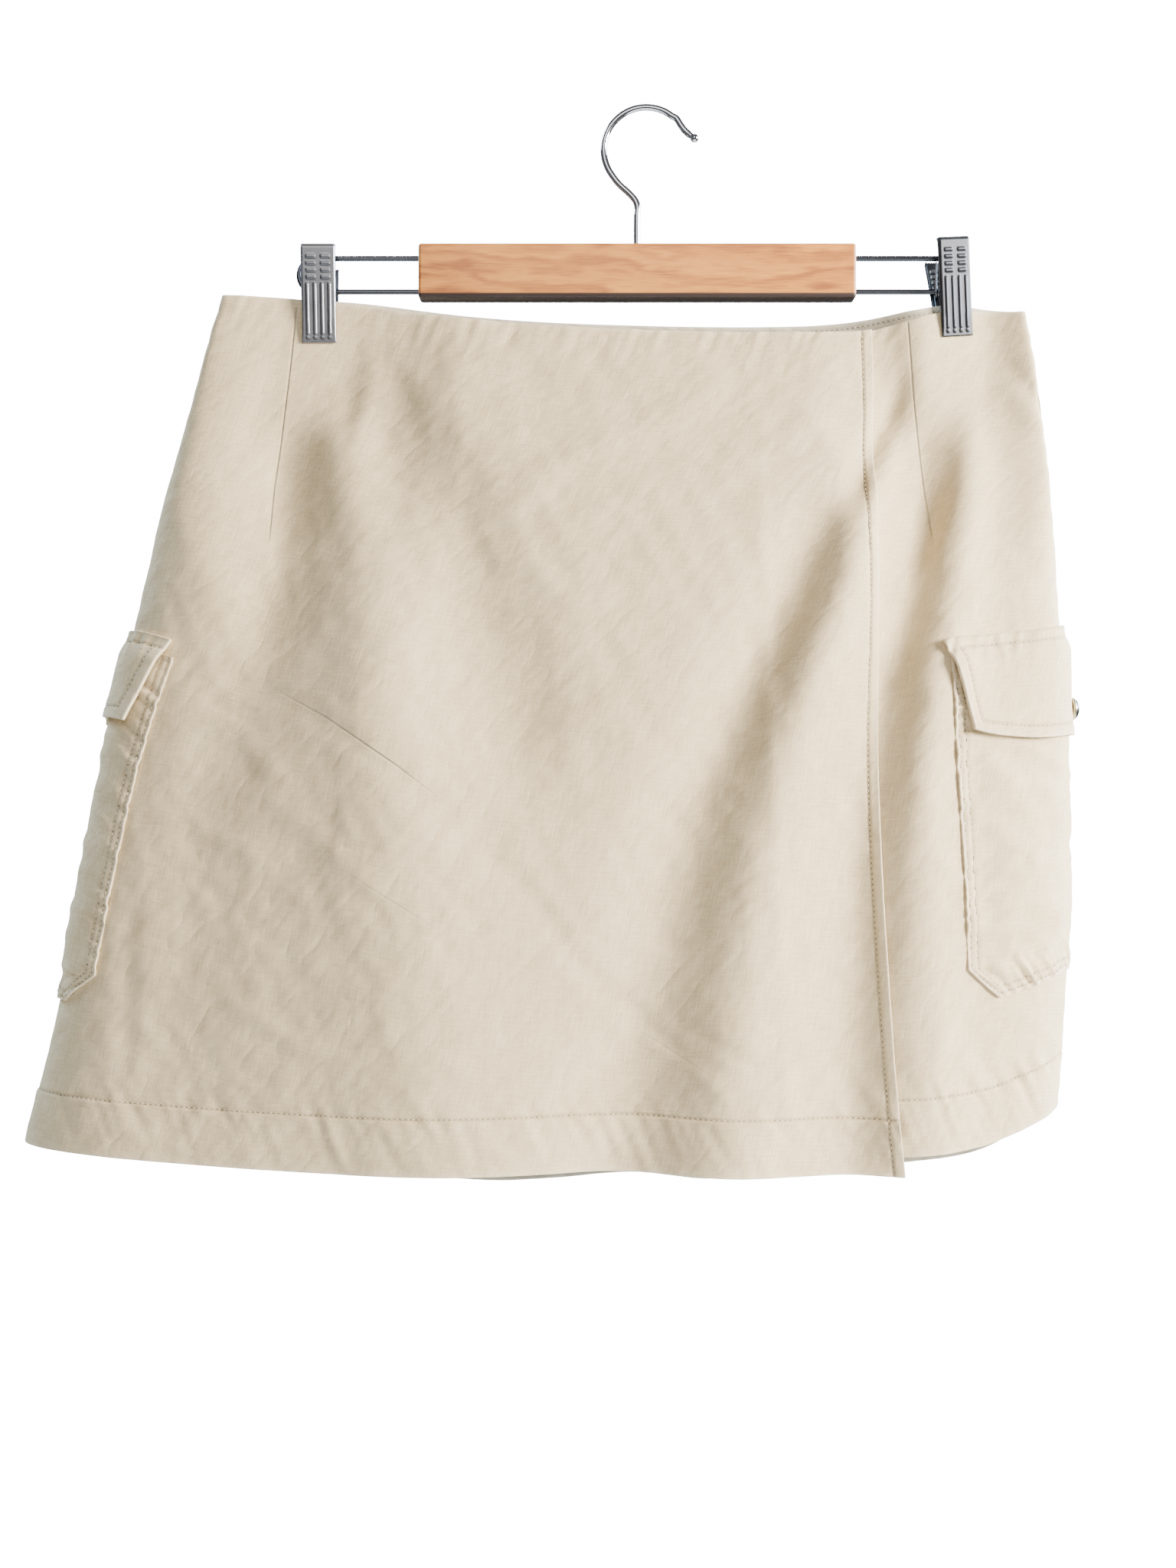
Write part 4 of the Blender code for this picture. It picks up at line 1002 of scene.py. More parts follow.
def seam_relief(piece, away, seed):
    return pucker(piece.down, away, 0.0070, 0.014, 0.5, 0.00055, seed) + groove(away, 0.0014, 0.0005)


def panel_relief(piece, side, seed):
    calm = smooth(0.0, 0.4, pinch(piece.x, piece.z))
    relief = crease_relief(side, piece.x, piece.z) + dart_relief(side, piece.x, piece.z)
    relief += unevenness(piece.distance, piece.down, seed)
    return calm * (relief + waist_relief(piece, seed + 1.0)) + hem_relief(piece, seed + 2.0)


def rubbed(piece, side, *edges):
    """Wear at the folds of hem, waist and edges, painted shade in the hem's row of stitches, and the sharp
    lines.
    """
    piece.look("wear", 0.7 * np.exp(-piece.up / 0.0014) + 0.6 * np.exp(-piece.down / 0.0012))
    for away in edges:
        piece.look("wear", 0.7 * np.exp(-np.abs(away) / 0.0009))
    # painted shade in the furrow of the hem's stitches
    piece.look("sunk", bell(piece.up - HEM, 0.00075))
    piece.looks["line"], piece.looks["line_depth"] = sharp_lines(side, piece.x, piece.z)


# %% [markdown]
# The wrap's free edge is turned in and stitched five millimetres from the fold, from the waist down
# to the hem. The band between the fold and the stitches is two layers, so it stands up a little
# and its edge catches the light. It is relief on the same grid and not a piece of its own, because
# it is the same cloth.

# %% Wrap front
def height_line(piece, height, start, end):
    """A line at one height above the hem, as (level, distance) pairs."""
    line = []
    for distance in np.arange(start, end, SAMPLE):
        column = int(np.argmin(np.abs(piece.distance[-1] - distance)))
        line.append((float(np.interp(-height, -piece.up[:, column], piece.levels)), distance))
    return line


def make_wrap():
    piece = Piece(LEVELS, wrap_columns)
    edge_away = piece.distance[:, -1:] - piece.distance
    seam_away = piece.distance - piece.distance[:, :1]
    relief = panel_relief(piece, "front", 3.0)
    relief += 0.00040 * (1.0 - smooth(EDGE_STITCH - 0.0006, EDGE_STITCH + 0.0004, edge_away))
    relief += groove(edge_away - EDGE_STITCH, 0.0008, 0.00042)
    relief += pucker(piece.down, edge_away - EDGE_STITCH, 0.0065, 0.010, 0.4, 0.00042, 21.0)
    relief += seam_relief(piece, seam_away, 31.0)
    piece.lift(relief)
    rubbed(piece, "front", edge_away, seam_away)
    # painted shade in the furrow of the edge stitching
    piece.look("sunk", bell(edge_away - EDGE_STITCH, 0.0007))
    cloth = sew("front_wrap", piece, PANEL, 2)
    hem_line = height_line(piece, HEM, piece.distance[-1, 0] + 0.002, piece.distance[-1, -1] - EDGE_STITCH)
    edge_line = [(level, Ring(level).wrap_edge() - EDGE_STITCH) for level in np.linspace(0.004, 0.998, 90)]
    return cloth, sew_stitches("front_wrap_stitches", piece, [hem_line, edge_line])


wrap_cloth, wrap_stitches = make_wrap()

# %% [markdown]
# The under front lies two millimetres further in where the wrap covers it. It is cut a little
# shorter, so its rows are lifted along the surface to its own hem. That keeps its folds in line
# with the wrap's, as those of two layers that hang together are.

# %% Under front
def shorten(piece):
    """Slide each column up along itself until it ends at the under front's own hem."""
    waist = along(FRONT_WAIST, piece.x)
    share = (along(UNDER_HEM, piece.x) - waist) / (front_hem(piece.x) - waist)
    for column in range(piece.x.shape[1]):
        wanted = piece.levels * np.clip(share[:, column], 0.9, 1.0)
        for grid in (piece.base, piece.normal, piece.points):
            for axis in range(3):
                grid[:, column, axis] = np.interp(wanted, piece.levels, grid[:, column, axis])
        piece.down[:, column] = np.interp(wanted, piece.levels, piece.down[:, column])
    piece.up = piece.down[-1] - piece.down
    piece.x, piece.z = piece.base[..., 0], piece.base[..., 2]


def make_under():
    piece = Piece(LEVELS, under_columns)
    past = piece.distance - (piece.distance[:, :1] + UNDERLAP)
    shorten(piece)
    seam_away = piece.distance[:, -1:] - piece.distance
    relief = panel_relief(piece, "front", 43.0) - UNDER_GAP * (1.0 - smooth(0.004, 0.030, past))
    relief += seam_relief(piece, seam_away, 51.0)
    piece.lift(relief)
    rubbed(piece, "front", seam_away)
    cloth = sew("front_under", piece, PANEL, 2)
    hem_line = height_line(piece, HEM, piece.distance[-1, 0] + 0.004, piece.distance[-1, -1] - 0.002)
    return cloth, sew_stitches("front_under_stitches", piece, [hem_line])


under_cloth, under_stitches = make_under()

# %% [markdown]
# The back is one panel. Its waist is faced on the inside, and because the front dips between the
# clips, a strip of that facing shows above it, with the row of stitches that holds it flat. The
# stitches lie on the facing's inner side, so they are sewn to a copy of its grid that faces in.

# %% Back and its facing
FACING = 0.0010
FACING_LOW = 0.093      # level of the facing's lower edge
FACING_GAP = 0.00036    # between the back and its facing


def make_back():
    piece = Piece(LEVELS, back_columns)
    right_away = piece.distance - piece.distance[:, :1]
    left_away = piece.distance[:, -1:] - piece.distance
    relief = panel_relief(piece, "back", 63.0)
    relief += seam_relief(piece, right_away, 71.0) + seam_relief(piece, left_away, 75.0)
    piece.lift(relief)
    rubbed(piece, "back", right_away, left_away)
    cloth = sew("back", piece, PANEL, 2)
    hem_line = height_line(piece, HEM, piece.distance[-1, 0] + 0.002, piece.distance[-1, -1] - 0.002)
    return cloth, sew_stitches("back_stitches", piece, [hem_line])


def make_facing():
    levels = np.unique(np.concatenate([np.linspace(0.0, FACING_LOW, 17), [0.002, 0.009]]))
    piece = Piece(levels, lambda ring: fit((ring.right_seam() + NEAR_SEAM[1:],
                                            ring.whole + ring.left_seam() - NEAR_SEAM[:0:-1]), 190))
    piece.lift(pucker(piece.distance, piece.down - 0.004, 0.012, 0.008, 0.1, 0.00020, 83.0)
               - (0.5 * PANEL + FACING_GAP + 0.5 * FACING))
    piece.look("wear", np.exp(-piece.down / 0.0014))
    # painted shade in the furrow of the facing's stitches
    piece.look("sunk", bell(piece.down - 0.0026, 0.0008))
    cloth = sew("back_facing", piece, FACING, 1, (CLOTH_INSIDE, CLOTH_INSIDE))
    inner = copy.copy(piece)
    inner.points, inner.normal = piece.points - piece.normal * FACING, -piece.normal
    first, last = piece.distance[0, 0] + 0.004, piece.distance[0, -1] - 0.004
    line = [(0.0060, distance) for distance in np.arange(first, last, SAMPLE)]
    return cloth, sew_stitches("back_facing_stitches", inner, [line])


back_cloth, back_stitches = make_back()
facing_cloth, facing_stitches = make_facing()

# %% [markdown]
# ## Pockets
# Each pocket is a patch that wraps round its side seam, with its lower corners cut off. Two rows
# of stitches hold its sides and foot. Between them and its middle the cloth is slack and stands
# away a few millimetres, which is why its edge has a dark line beside it. It is made like a panel,
# from places on the same rings moved out, so it follows every fold beneath it. Its stitched edges
# are drawn up more than any other seam.

# %% Pockets
POCKET_HALF = 0.077
POCKET_CORNER = 0.018
POCKET_TOP, CHAMFER_TOP, POCKET_LOW = 0.418, 0.79, 0.83     # levels; the flap covers the top
POCKET_ROWS = (0.0020, 0.0058)      # stitch rows, in from the edge
POCKET_OUT = 0.0012                 # from the panel to the pocket at its edge
LEVEL_DEEP = 0.43                   # metres down the skirt's side for one level
SEAMS = {"left": Ring.left_seam, "right": Ring.right_seam}


def pocket_half(level):
    cut_off = np.clip((level - CHAMFER_TOP) / (POCKET_LOW - CHAMFER_TOP), 0.0, 1.0)
    return POCKET_HALF - POCKET_CORNER * cut_off


def crowd(values, steps):
    """Shares from -1 to 1 with more of them near both ends."""
    near = 1.0 - np.array(values) / steps
    return np.concatenate([-near, np.linspace(-near[-1], near[-1], 76)[1:-1], near[::-1]])


POCKET_NEAR = [0.0, 0.0006, 0.0013, 0.0020, 0.0027, 0.0035, 0.0044, 0.0052, 0.0058, 0.0064, 0.0074, 0.0090]
POCKET_LEVELS = np.unique(np.round(np.concatenate([
    np.linspace(POCKET_TOP, POCKET_LOW, 84), np.linspace(CHAMFER_TOP, POCKET_LOW, 24),
    POCKET_LOW - np.array([0.0, 0.0015, 0.003, 0.0045, 0.006, 0.012, 0.0135, 0.015])]), 5))


def edge_round(side, half_at, inset, levels):
    """Down one edge, across the foot and up the other, at a distance in from the edge."""
    middles = [SEAMS[side](Ring(level)) for level in levels]
    down = [(level, middle - half_at(level) + inset) for level, middle in zip(levels, middles)]
    up = [(level, middle + half_at(level) - inset) for level, middle in zip(levels, middles)][::-1]
    foot = [(levels[-1], distance) for distance in np.linspace(down[-1][1], up[0][1], 40)[1:-1]]
    return down + foot + up


def pocket_line(side, inset):
    low = POCKET_LOW - inset / LEVEL_DEEP
    straight = np.linspace(POCKET_TOP + 0.03, CHAMFER_TOP, 50)
    levels = np.concatenate([straight, np.linspace(CHAMFER_TOP, low, 12)[1:]])
    return edge_round(side, pocket_half, inset, levels)


def seam_distance(side, piece):
    """How far every place of a patch is from its side seam, minus on the left of it."""
    return piece.distance - np.array([SEAMS[side](Ring(level)) for level in piece.levels])[:, None]


def make_pocket(side, seed):
    shares = crowd(POCKET_NEAR, POCKET_HALF)
    piece = Piece(POCKET_LEVELS, lambda ring: SEAMS[side](ring) + shares * pocket_half(ring.level))
    from_seam = np.abs(seam_distance(side, piece))
    edge_away = np.minimum(pocket_half(piece.levels)[:, None] - from_seam, piece.up)
    slack = smooth(0.0060, 0.0300, edge_away) * smooth(-0.004, 0.016, piece.down)
    rumple = soft_noise(piece.distance * 0.35, piece.down * 1.3, 0.010, seed + 2.0)
    sag_line = np.abs(soft_noise(piece.distance - piece.down, piece.down, 0.024, seed + 6.0))
    relief = POCKET_OUT + slack * (0.0022 + 0.0010 * smooth(0.050, 0.0, piece.down) - 0.0012 * sag_line)
    relief += unevenness(piece.distance, piece.down, seed) * (0.5 + 0.6 * slack)
    relief += 0.0011 * (0.3 + 0.7 * slack) * rumple
    run = piece.down + np.where(piece.up < 0.020, from_seam, 0.0)
    relief += pucker(run, edge_away - POCKET_ROWS[1], 0.0120, 0.0075, 0.3, 0.00340, seed + 4.0)
    relief += crease_relief("front", piece.x, piece.z) * (piece.base[..., 1] < 0)
    piece.look("wear", np.exp(-edge_away / 0.0010))
    for row in POCKET_ROWS:
        relief += groove(edge_away - row, 0.0007, 0.00032)
        # painted shade in the furrow of each stitch row
        piece.look("sunk", 0.8 * bell(edge_away - row, 0.0007))
    piece.lift(relief)
    name = f"pocket_{side}"
    cloth = sew(name, piece, PANEL, 2)
    return cloth, sew_stitches(f"{name}_stitches", piece, [pocket_line(side, row) for row in POCKET_ROWS])


pockets = {side: make_pocket(side, seed) for side, seed in (("left", 101.0), ("right", 131.0))}

# %% [markdown]
# A flap closes over each pocket. It is sewn to the panel along its top, folded down over that
# seam and stitched again, and topstitched six millimetres in from its three free edges. It is two
# layers thick and stands on the pocket's slack cloth, so it could not lie on the panel's own
# surface: it rises over its first centimetre. The middle of the right one's lower edge, with the
# stud's weight on it, hangs lower than its corners.

# %% Flaps
FLAP = 0.0020
FLAP_TOP_HALF = {"left": 0.0720, "right": 0.0795}
FLAP_LOW_HALF = {"left": 0.0645, "right": 0.0685}
FLAP_DROP = {"left": (0.0, 0.0), "right": (0.0036, 0.0145)}     # sag of the corners, and of the middle
FLAP_TOP, SNAP_LEVEL, FLAP_LOW = 0.40, 0.477, 0.501
FLAP_STITCH = 0.0058
FLAP_SEWN = 0.0020      # out from the panel where it is sewn on
FLAP_RISE = 0.0030      # and this much more where it lies on the pocket
FLAP_FLARE = 0.0011     # and this much more at its lower edge
FLAP_TUCKS = (-0.047, 0.030)        # small ridges under the top seam, from the side seam
FLAP_LEVELS = np.unique(np.round(np.concatenate([
    np.linspace(FLAP_TOP, FLAP_LOW, 40),
    FLAP_TOP + np.array([0.0, 0.0015, 0.010, 0.0115, 0.013, 0.0145, 0.016]),
    FLAP_LOW - np.array([0.0, 0.0015, 0.003, 0.0105, 0.012, 0.0135, 0.015])]), 5))


def flap_half(side, level):
    share = (level - FLAP_TOP) / (FLAP_LOW - FLAP_TOP)
    return FLAP_TOP_HALF[side] + (FLAP_LOW_HALF[side] - FLAP_TOP_HALF[side]) * share


def sag(piece, side, from_seam, half):
    """Let the flap hang lower than its rings."""
    corner, middle = FLAP_DROP[side]
    share = (piece.levels[:, None] - FLAP_TOP) / (FLAP_LOW - FLAP_TOP)
    drop = share * (middle - (middle - corner) * (from_seam / half) ** 2)
    piece.base[..., 2] -= drop
    piece.points[..., 2] -= drop
    piece.down += drop
    piece.up = piece.down[-1] - piece.down


def flap_lines(side, piece):
    """The stitches round its free edges, and those along its top."""
    down = piece.down[:, piece.distance.shape[1] // 2]
    top, low = (float(np.interp(run, down, piece.levels)) for run in (FLAP_STITCH, down[-1] - FLAP_STITCH))
    edges = edge_round(side, lambda level: flap_half(side, level), FLAP_STITCH, np.linspace(top, low, 16))
    ends = flap_half(side, top) - 0.002
    band = [(top, SEAMS[side](Ring(top)) + distance) for distance in np.linspace(-ends, ends, 40)]
    return [edges, band]


def make_flap(side, seed):
    shares = crowd(POCKET_NEAR, FLAP_TOP_HALF[side])
    piece = Piece(FLAP_LEVELS, lambda ring: SEAMS[side](ring) + shares * flap_half(side, ring.level))
    half = flap_half(side, piece.levels)[:, None]
    from_seam = seam_distance(side, piece)
    sag(piece, side, from_seam, half)
    edge_away = np.minimum(half - np.abs(from_seam), piece.up)
    below_top = piece.down - FLAP_STITCH
    stands = smooth(0.001, 0.014, piece.down)
    run = piece.distance + piece.down
    relief = FLAP_SEWN + FLAP_RISE * stands + FLAP_FLARE * smooth(0.018, 0.0, piece.up)
    relief += 0.0005 * soft_noise(piece.distance, piece.down, 0.022, seed)
    relief += pucker(piece.distance, below_top, 0.0070, 0.0065, 0.1, 0.00190, seed + 2.0)
    relief += pucker(run, edge_away - FLAP_STITCH, 0.0050, 0.009, 0.5, 0.00050, seed + 4.0)
    relief += groove(edge_away - FLAP_STITCH, 0.0008, 0.00038) * stands + groove(below_top, 0.0009, 0.0005)
    for place in FLAP_TUCKS:
        relief += 0.0007 * bell(from_seam - place, 0.0011) * smooth(0.026, 0.004, piece.down)
    piece.lift(relief)
    piece.look("wear", np.exp(-edge_away / 0.0010))
    # painted shade: a shadow line under the top seam, and in the topstitching's furrow
    piece.look("sunk", 0.8 * bell(piece.down, 0.0009))
    piece.look("sunk", bell(np.minimum(edge_away, piece.down) - FLAP_STITCH, 0.0007))
    name = f"flap_{side}"
    cloth = sew(name, piece, FLAP, 2)
    stitches = sew_stitches(f"{name}_stitches", piece, flap_lines(side, piece))
    return piece, cloth, stitches


flaps = {side: make_flap(side, seed) for side, seed in (("left", 151.0), ("right", 171.0))}

# %% [markdown]
# ## Press studs
# The stud is a small dome, dark with age, on a paler brass washer with a rolled rim. A squashed
# ball would lose the rim, so it is turned like a bowl: one outline spun round its middle. A point
# on the axis is made once, and the faces that meet there are triangles.

# %% Press studs
def spun_mesh(name, outline, steps):
    """Spin an outline of (radius, height) pairs about Z, from the top down, into a mesh."""
    verts, rings = [], []
    for radius, height in outline:
        count = steps if radius > 0.0 else 1
        rings.append([len(verts) + i % count for i in range(steps + 1)])
        angles = [2.0 * math.pi * i / steps for i in range(count)]
        verts += [(radius * math.cos(angle), radius * math.sin(angle), height) for angle in angles]
    faces = [tuple(dict.fromkeys((upper[i], lower[i], lower[i + 1], upper[i + 1])))
             for upper, lower in zip(rings, rings[1:]) for i in range(steps)]
    mesh = bpy.data.meshes.new(name)
    mesh.from_pydata(verts, [], faces)
    mesh.polygons.foreach_set("use_smooth", [True] * len(faces))
    return mesh


STUD_OUTLINE = [(0.0, 0.00400), (0.0014, 0.00394), (0.0027, 0.00372), (0.0038, 0.00330), (0.0046, 0.00270),
                (0.0050, 0.00205), (0.0050, 0.00165), (0.0052, 0.00160), (0.0056, 0.00150), (0.0058, 0.00125),
                (0.0058, 0.00060), (0.0056, 0.00020), (0.0052, 0.0), (0.0030, 0.0), (0.0, 0.0)]
CAP_FROM = 0.0017       # the washer's brass below this height, the dark cap above
STUD_OUT = 0.0001       # above the flap's surface


def make_stud(side):
    piece = flaps[side][0]
    place, out = piece.at(SNAP_LEVEL, SEAMS[side](Ring(SNAP_LEVEL)))
    mesh = spun_mesh(f"snap_{side}", STUD_OUTLINE, 40)
    for polygon in mesh.polygons:
        polygon.material_index = int(polygon.center.z > CAP_FROM)
    turn = Vector(out).to_track_quat("Z", "Y").to_matrix().to_4x4()
    mesh.transform(Matrix.Translation(Vector(place) + Vector(out) * STUD_OUT) @ turn)
    return add_piece(f"snap_{side}_cap", mesh, (BRASS, DARK_CAP), (f"snap_{side}",))


studs = {side: make_stud(side) for side in ("left", "right")}
print("studs:", [stud.name for stud in studs.values()])

# %% [markdown]
# ## The hanger's wires
# The hook and the two rails are bent wire. A chain of cylinders would show its joints, so each is
# one curve with a round section, along the same line as its solid. The hook's is passed smoothly
# through a stem, an arc and a tail, and its radius swells at the end into a small ball.

# %% Hook and rails
WIRE = 0.00175
RAIL = 0.0014
BAR = (0.2276, 0.0130, 0.0283)
BAR_CENTRE_Z = -0.08435
RAIL_UPPER_Z, RAIL_LOWER_Z = -0.0768, -0.0942
RAIL_REACH = {"left": 0.1780, "right": 0.1730}
BURIED = 0.012          # how deep a wire sits in the bar
HOOK_RADIUS, HOOK_SIDE = 0.0222, 0.0048     # of the bow, and how far its centre is right of the stem
HOOK_STEP = 0.0012
BEAD_RADIUS = 0.0022


def arc(centre_x, centre_z, radius, start, end, count):
    angles = np.radians(np.linspace(start, end, count + 1))
    return [(centre_x + radius * math.cos(a), 0.0, centre_z + radius * math.sin(a)) for a in angles]


def bend_wire(name, points, radius, material, replaced):
    data = bpy.data.curves.new(name, "CURVE")
    data.dimensions = "3D"
    data.bevel_depth, data.bevel_resolution = radius, 6
    data.use_fill_caps = True
    spline = data.splines.new("POLY")
    spline.points.add(len(points) - 1)
    for target, point in zip(spline.points, points):
        target.co = (*point[:3], 1.0)
        target.radius = point[3] if len(point) > 3 else 1.0
    spline.use_smooth = True
    data.materials.append(material)
    item = bpy.data.objects.new(name, data)
    bpy.context.scene.collection.objects.link(item)
    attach(item, "root")
    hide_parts(replaced)
    return item


def rounded(points):
    """Pass a smooth curve through a line of points."""
    line = np.array(points)
    runs = np.concatenate([[0.0], np.cumsum(np.linalg.norm(np.diff(line, axis=0), axis=1))])
    spots = np.linspace(0.0, runs[-1], int(runs[-1] / HOOK_STEP))
    return np.stack([along(list(zip(runs, line[:, i])), spots) for i in range(3)], axis=1).tolist()


def make_hook():
    centre_z = -math.sqrt((HOOK_RADIUS - WIRE) ** 2 - HOOK_SIDE**2)
    stem = [(0.0, 0.0, BAR_CENTRE_Z + 0.5 * BAR[2] - BURIED), (0.0, 0.0, -0.0540), (0.0003, 0.0, -0.0500),
            (-0.0010, 0.0, -0.0462), (-0.0044, 0.0, -0.0424), (-0.0096, 0.0, -0.0376)]
    tail = [(0.0205, 0.0, -0.0034), (0.0226, 0.0, -0.0066), (0.0246, 0.0, -0.0094), (0.0272, 0.0, -0.0119)]
    line = rounded(stem + arc(HOOK_SIDE, centre_z, HOOK_RADIUS, 212.0, 52.0, 20) + tail)
    end, heading = Vector((0.0300, 0.0, -0.0138)), Vector((0.82, 0.0, -0.57))
    for angle in np.linspace(0.22 * math.pi, 0.98 * math.pi, 13).tolist():
        place = end - heading * (BEAD_RADIUS * math.cos(angle))
        line.append((*place, max(BEAD_RADIUS * math.sin(angle), 0.0002) / WIRE))
    return bend_wire("hook_wire", line, WIRE, CHROME, "hook")


def make_rail(side):
    sign = -1.0 if side == "left" else 1.0
    half = 0.5 * (RAIL_UPPER_Z - RAIL_LOWER_Z)
    middle = 0.5 * (RAIL_UPPER_Z + RAIL_LOWER_Z)
    turn_x = sign * (RAIL_REACH[side] - RAIL - half)
    inside = sign * (0.5 * BAR[0] - BURIED)
    bend = [(turn_x + sign * x, y, z) for x, y, z in arc(0.0, middle, half, 90.0, -90.0, 24)]
    points = [(inside, 0.0, RAIL_UPPER_Z), *bend, (inside, 0.0, RAIL_LOWER_Z)]
    return bend_wire(f"rail_{side}_wire", points, RAIL, WIRE_STEEL, f"rail_{side}")


wires = [make_hook(), make_rail("left"), make_rail("right")]
print("wires:", [wire.name for wire in wires])

# %% [markdown]
# ## The wooden bar
# A planed bar with its edges softened, bored for the hook and the rails. It is one block with a
# bevel, whose corners catch the light as real ones do. The holes are not cut, because the wires
# fill them: a dark rim round each wire is all that would show, and a ring of painted shade stands
# for it.

# %% Bar
def make_bar():
    block = bmesh.new()
    bmesh.ops.create_cube(block, size=1.0)
    bmesh.ops.scale(block, vec=BAR, verts=block.verts)
    bmesh.ops.bevel(block, geom=block.edges, offset=0.0016, segments=5, affect="EDGES", profile=0.5)
    mesh = bpy.data.meshes.new("hanger_block")
    block.to_mesh(mesh)
    block.free()
    mesh.transform(Matrix.Translation((0.0, 0.0, BAR_CENTRE_Z)))
    mesh.polygons.foreach_set("use_smooth", [True] * len(mesh.polygons))
    mesh.set_sharp_from_angle(angle=math.radians(40.0))
    return add_piece("hanger_bar", mesh, (WOOD,), ("hanger_block",))


def make_collars():
    """Rings of painted shade for the dark rims of the five holes in the bar."""
    holes = [((0.0, 0.0, BAR_CENTRE_Z + 0.5 * BAR[2]), (0, 0, 1), WIRE)]
    for sign in (-1, 1):
        holes += [((sign * 0.5 * BAR[0], 0.0, z), (sign, 0, 0), RAIL) for z in (RAIL_UPPER_Z, RAIL_LOWER_Z)]
    joined = bmesh.new()
    for place, axis, radius in holes:
        outline = [(radius + 0.00002, 0.00012), (radius + 0.0004, 0.00009), (radius + 0.0006, -0.0002)]
        mesh = spun_mesh("collar", outline, 24)
        turn = Vector(axis).to_track_quat("Z", "Y").to_matrix().to_4x4()
        mesh.transform(Matrix.Translation(place) @ turn)
        joined.from_mesh(mesh)
        bpy.data.meshes.remove(mesh)
    mesh = bpy.data.meshes.new("hanger_collars")
    joined.to_mesh(mesh)
    joined.free()
    # painted shade round each wire where it enters the bar
    rim = shadow_recipe("hole_rim_shade", (0.09, 0.04, 0.02), (0.20, 0.09, 0.04))
    return add_piece("hanger_collars", mesh, (rim,))


bar = make_bar()
collars = make_collars()
print("bar:", bar.name, "of", BAR)

# %% [markdown]
# ## Clips
# Each jaw is pressed from sheet: a long face that leans away from the cloth, walls that turn back
# from both its sides, four short bars in two columns at the top and four long ribs below. Joining
# bars to a plate would leave hard corners, and pressed sheet has none, so the face is a fine grid
# whose relief is the pressing, and the shell gives it its sheet thickness.

# %% Pressed jaws
JAW_WIDE = 0.0180
JAW_HEIGHT = {"front": 0.0495, "back": 0.0405}
JAW_SHEET = 0.0008
JAW_TILT = math.radians(8.0)
JAW_FACE = 0.0025       # inside of the jaw's lip, from the middle of the cloth
JAW_ROUND = 0.0012
WALL_SHARE = 0.70       # how much of the face's lean the walls' free edges follow
# the right clip's darker steel is painted shade
CLIP_STEEL = {"left": STEEL, "right": SHADED_CLIP_STEEL}


def pill(x, z, start, end, half, height):
    """A rounded bar pressed up between two points."""
    away, _ = line_place(x, z, (start, end))
    return height * np.sqrt(np.clip(1.0 - (np.abs(away) / half) ** 2, 0.0, 1.0))


def pressing(x, z, tall):
    """The pattern on a jaw's face: x from its middle, z from its foot."""
    relief = np.zeros(x.shape)
    for column in (-0.0038, 0.0038):
        for row in range(4):
            height = tall * (0.665 + 0.070 * row)
            relief = np.maximum(relief, pill(x, z, (column - 0.0017, height), (column + 0.0017, height),
                                             0.00095, 0.00045))
    for rib in range(4):
        place = -0.0057 + 0.0038 * rib
        relief = np.maximum(relief, pill(x, z, (place, tall * 0.09), (place, tall * 0.59), 0.00085, 0.00050))
        relief = np.maximum(relief, pill(x, z, (place - 0.0003, tall * 0.050), (place + 0.0003, tall * 0.050),
                                         0.00075, 0.00040))
    return relief


def jaw_outline(z, tall):
    """Across the jaw at one height: places x and how far out, from one wall's edge to the other's."""
    lean = tall * math.tan(JAW_TILT)
    face = JAW_FACE + JAW_SHEET + z * math.tan(JAW_TILT)
    wall_low = JAW_FACE + 0.0004
    share = np.clip((z - 0.004) / (tall - 0.008), 0.0, 1.0)
    wall = min(wall_low + WALL_SHARE * lean * share, face - 0.0005)
    half, bend = 0.5 * JAW_WIDE, min(JAW_ROUND, face - wall)
    walls = np.linspace(wall, face - bend, 4)[:-1]
    turns = np.linspace(0.0, math.pi / 2, 6)
    side_x = np.concatenate([np.full(3, -half), -half + bend * (1.0 - np.cos(turns))])
    side_out = np.concatenate([walls, face - bend + bend * np.sin(turns)])
    across = np.linspace(-half + bend, half - bend, 48)[1:-1]
    return (np.concatenate([side_x, across, -side_x[::-1]]),
            np.concatenate([side_out, np.full(across.shape, face), side_out[::-1]]))


def clip_frame(clip):
    turn = Matrix.Rotation(clip.turn, 4, "Z") @ Matrix.Rotation(-clip.lean, 4, "Y")
    return Matrix.Translation((clip.x, 0.0, clip.z_low)) @ turn


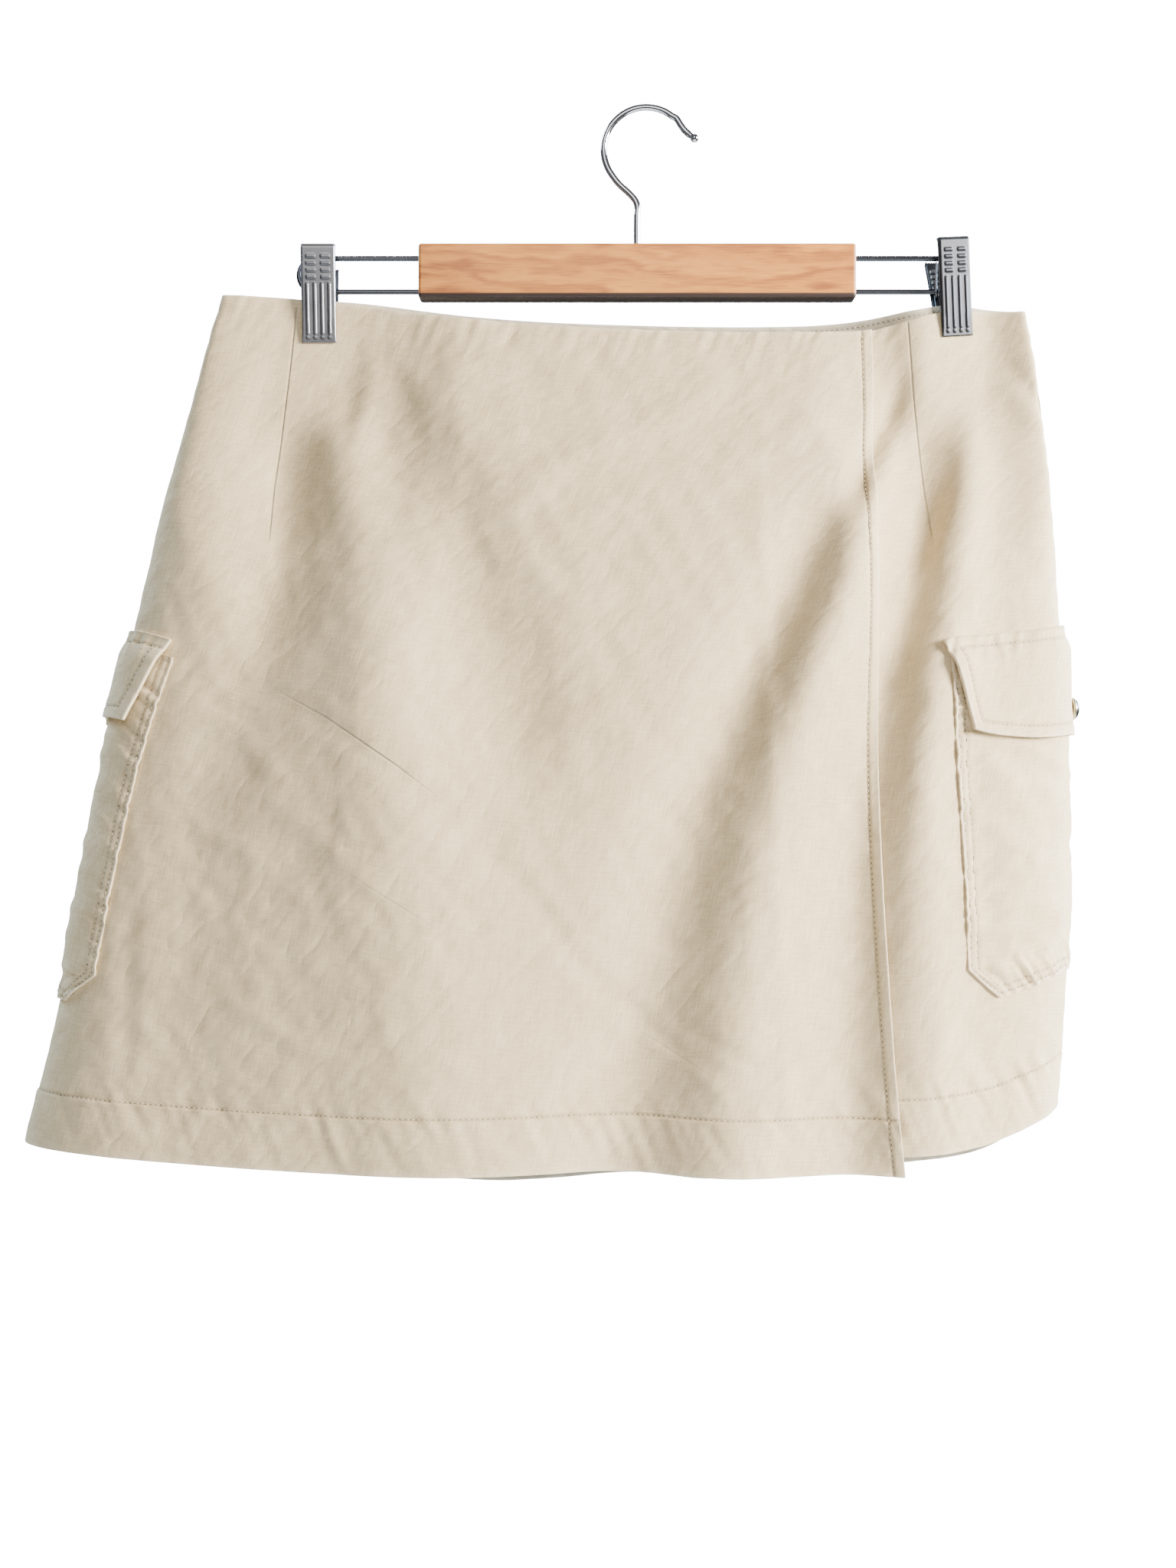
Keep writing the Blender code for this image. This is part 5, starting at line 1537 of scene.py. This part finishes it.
def make_jaw(side, layer):
    facing = -1.0 if layer == "front" else 1.0
    tall = JAW_HEIGHT[layer]
    heights = np.unique(np.concatenate([np.linspace(0.0, tall, 104), [0.0004, tall - 0.0004]]))
    rows = [jaw_outline(z, tall) for z in heights[::-1]]
    x = np.array([row[0] for row in rows]) * -facing
    out = np.array([row[1] for row in rows])
    z = np.repeat(heights[::-1, None], x.shape[1], axis=1)
    top = smooth(tall - 0.0016, tall, z)
    points = np.stack([x, facing * (out + pressing(x, z, tall) - 0.0006 * top), z], axis=-1)
    normal = unit(np.cross(np.gradient(points, axis=0), np.gradient(points, axis=1)))
    cut = np.stack([x, z], axis=-1)
    name = f"clip_{side}_{layer}"
    mesh = shell_mesh(name, points, normal, JAW_SHEET, RIMS[1], cut, {})
    mesh.transform(clip_frame(CLIPS[side]))
    return add_piece(f"{name}_jaw", mesh, (CLIP_STEEL[side],) * 2, (name,))


jaws = [make_jaw(side, layer) for side in ("left", "right") for layer in ("front", "back")]
print("jaws:", len(jaws), "of", len(jaws[0].data.polygons), "faces")

# %% [markdown]
# A coil spring round the lower rail pushes the jaws' feet together. It is a helix of thin wire, with
# a leg at each end that runs up inside the jaws. Hardly any of it shows, but light falls through it
# between the jaws, which it would not do through a plain barrel.

# %% Springs
SPRING_WIRE = 0.00045
SPRING_HALF = 0.0039
SPRING_LOOP = 0.0026
SPRING_SHIFT = 0.0036   # towards the bar, clear of the rail's bend
SPRING_LEG = 0.0150


def make_spring(side):
    clip = CLIPS[side]
    x = clip.x - (RAIL_LOWER_Z - clip.z_low) * math.tan(clip.lean)
    x -= math.copysign(SPRING_SHIFT, x)
    turns, steps = 6, 6 * 20
    points = [(x - SPRING_HALF, -0.0030, RAIL_LOWER_Z + SPRING_LEG)]
    for i in range(steps + 1):
        angle = 2.0 * math.pi * turns * i / steps + math.pi
        points.append((x - SPRING_HALF + 2.0 * SPRING_HALF * i / steps, SPRING_LOOP * math.cos(angle),
                       RAIL_LOWER_Z + SPRING_LOOP * math.sin(angle)))
    points.append((x + SPRING_HALF, -0.0030, RAIL_LOWER_Z + SPRING_LEG))
    return bend_wire(f"clip_{side}_coil", points, SPRING_WIRE, STEEL, f"clip_{side}_spring")


springs = [make_spring(side) for side in ("left", "right")]
print("springs:", [spring.name for spring in springs])

# %% [markdown] Update the scene

bpy.context.view_layer.update()
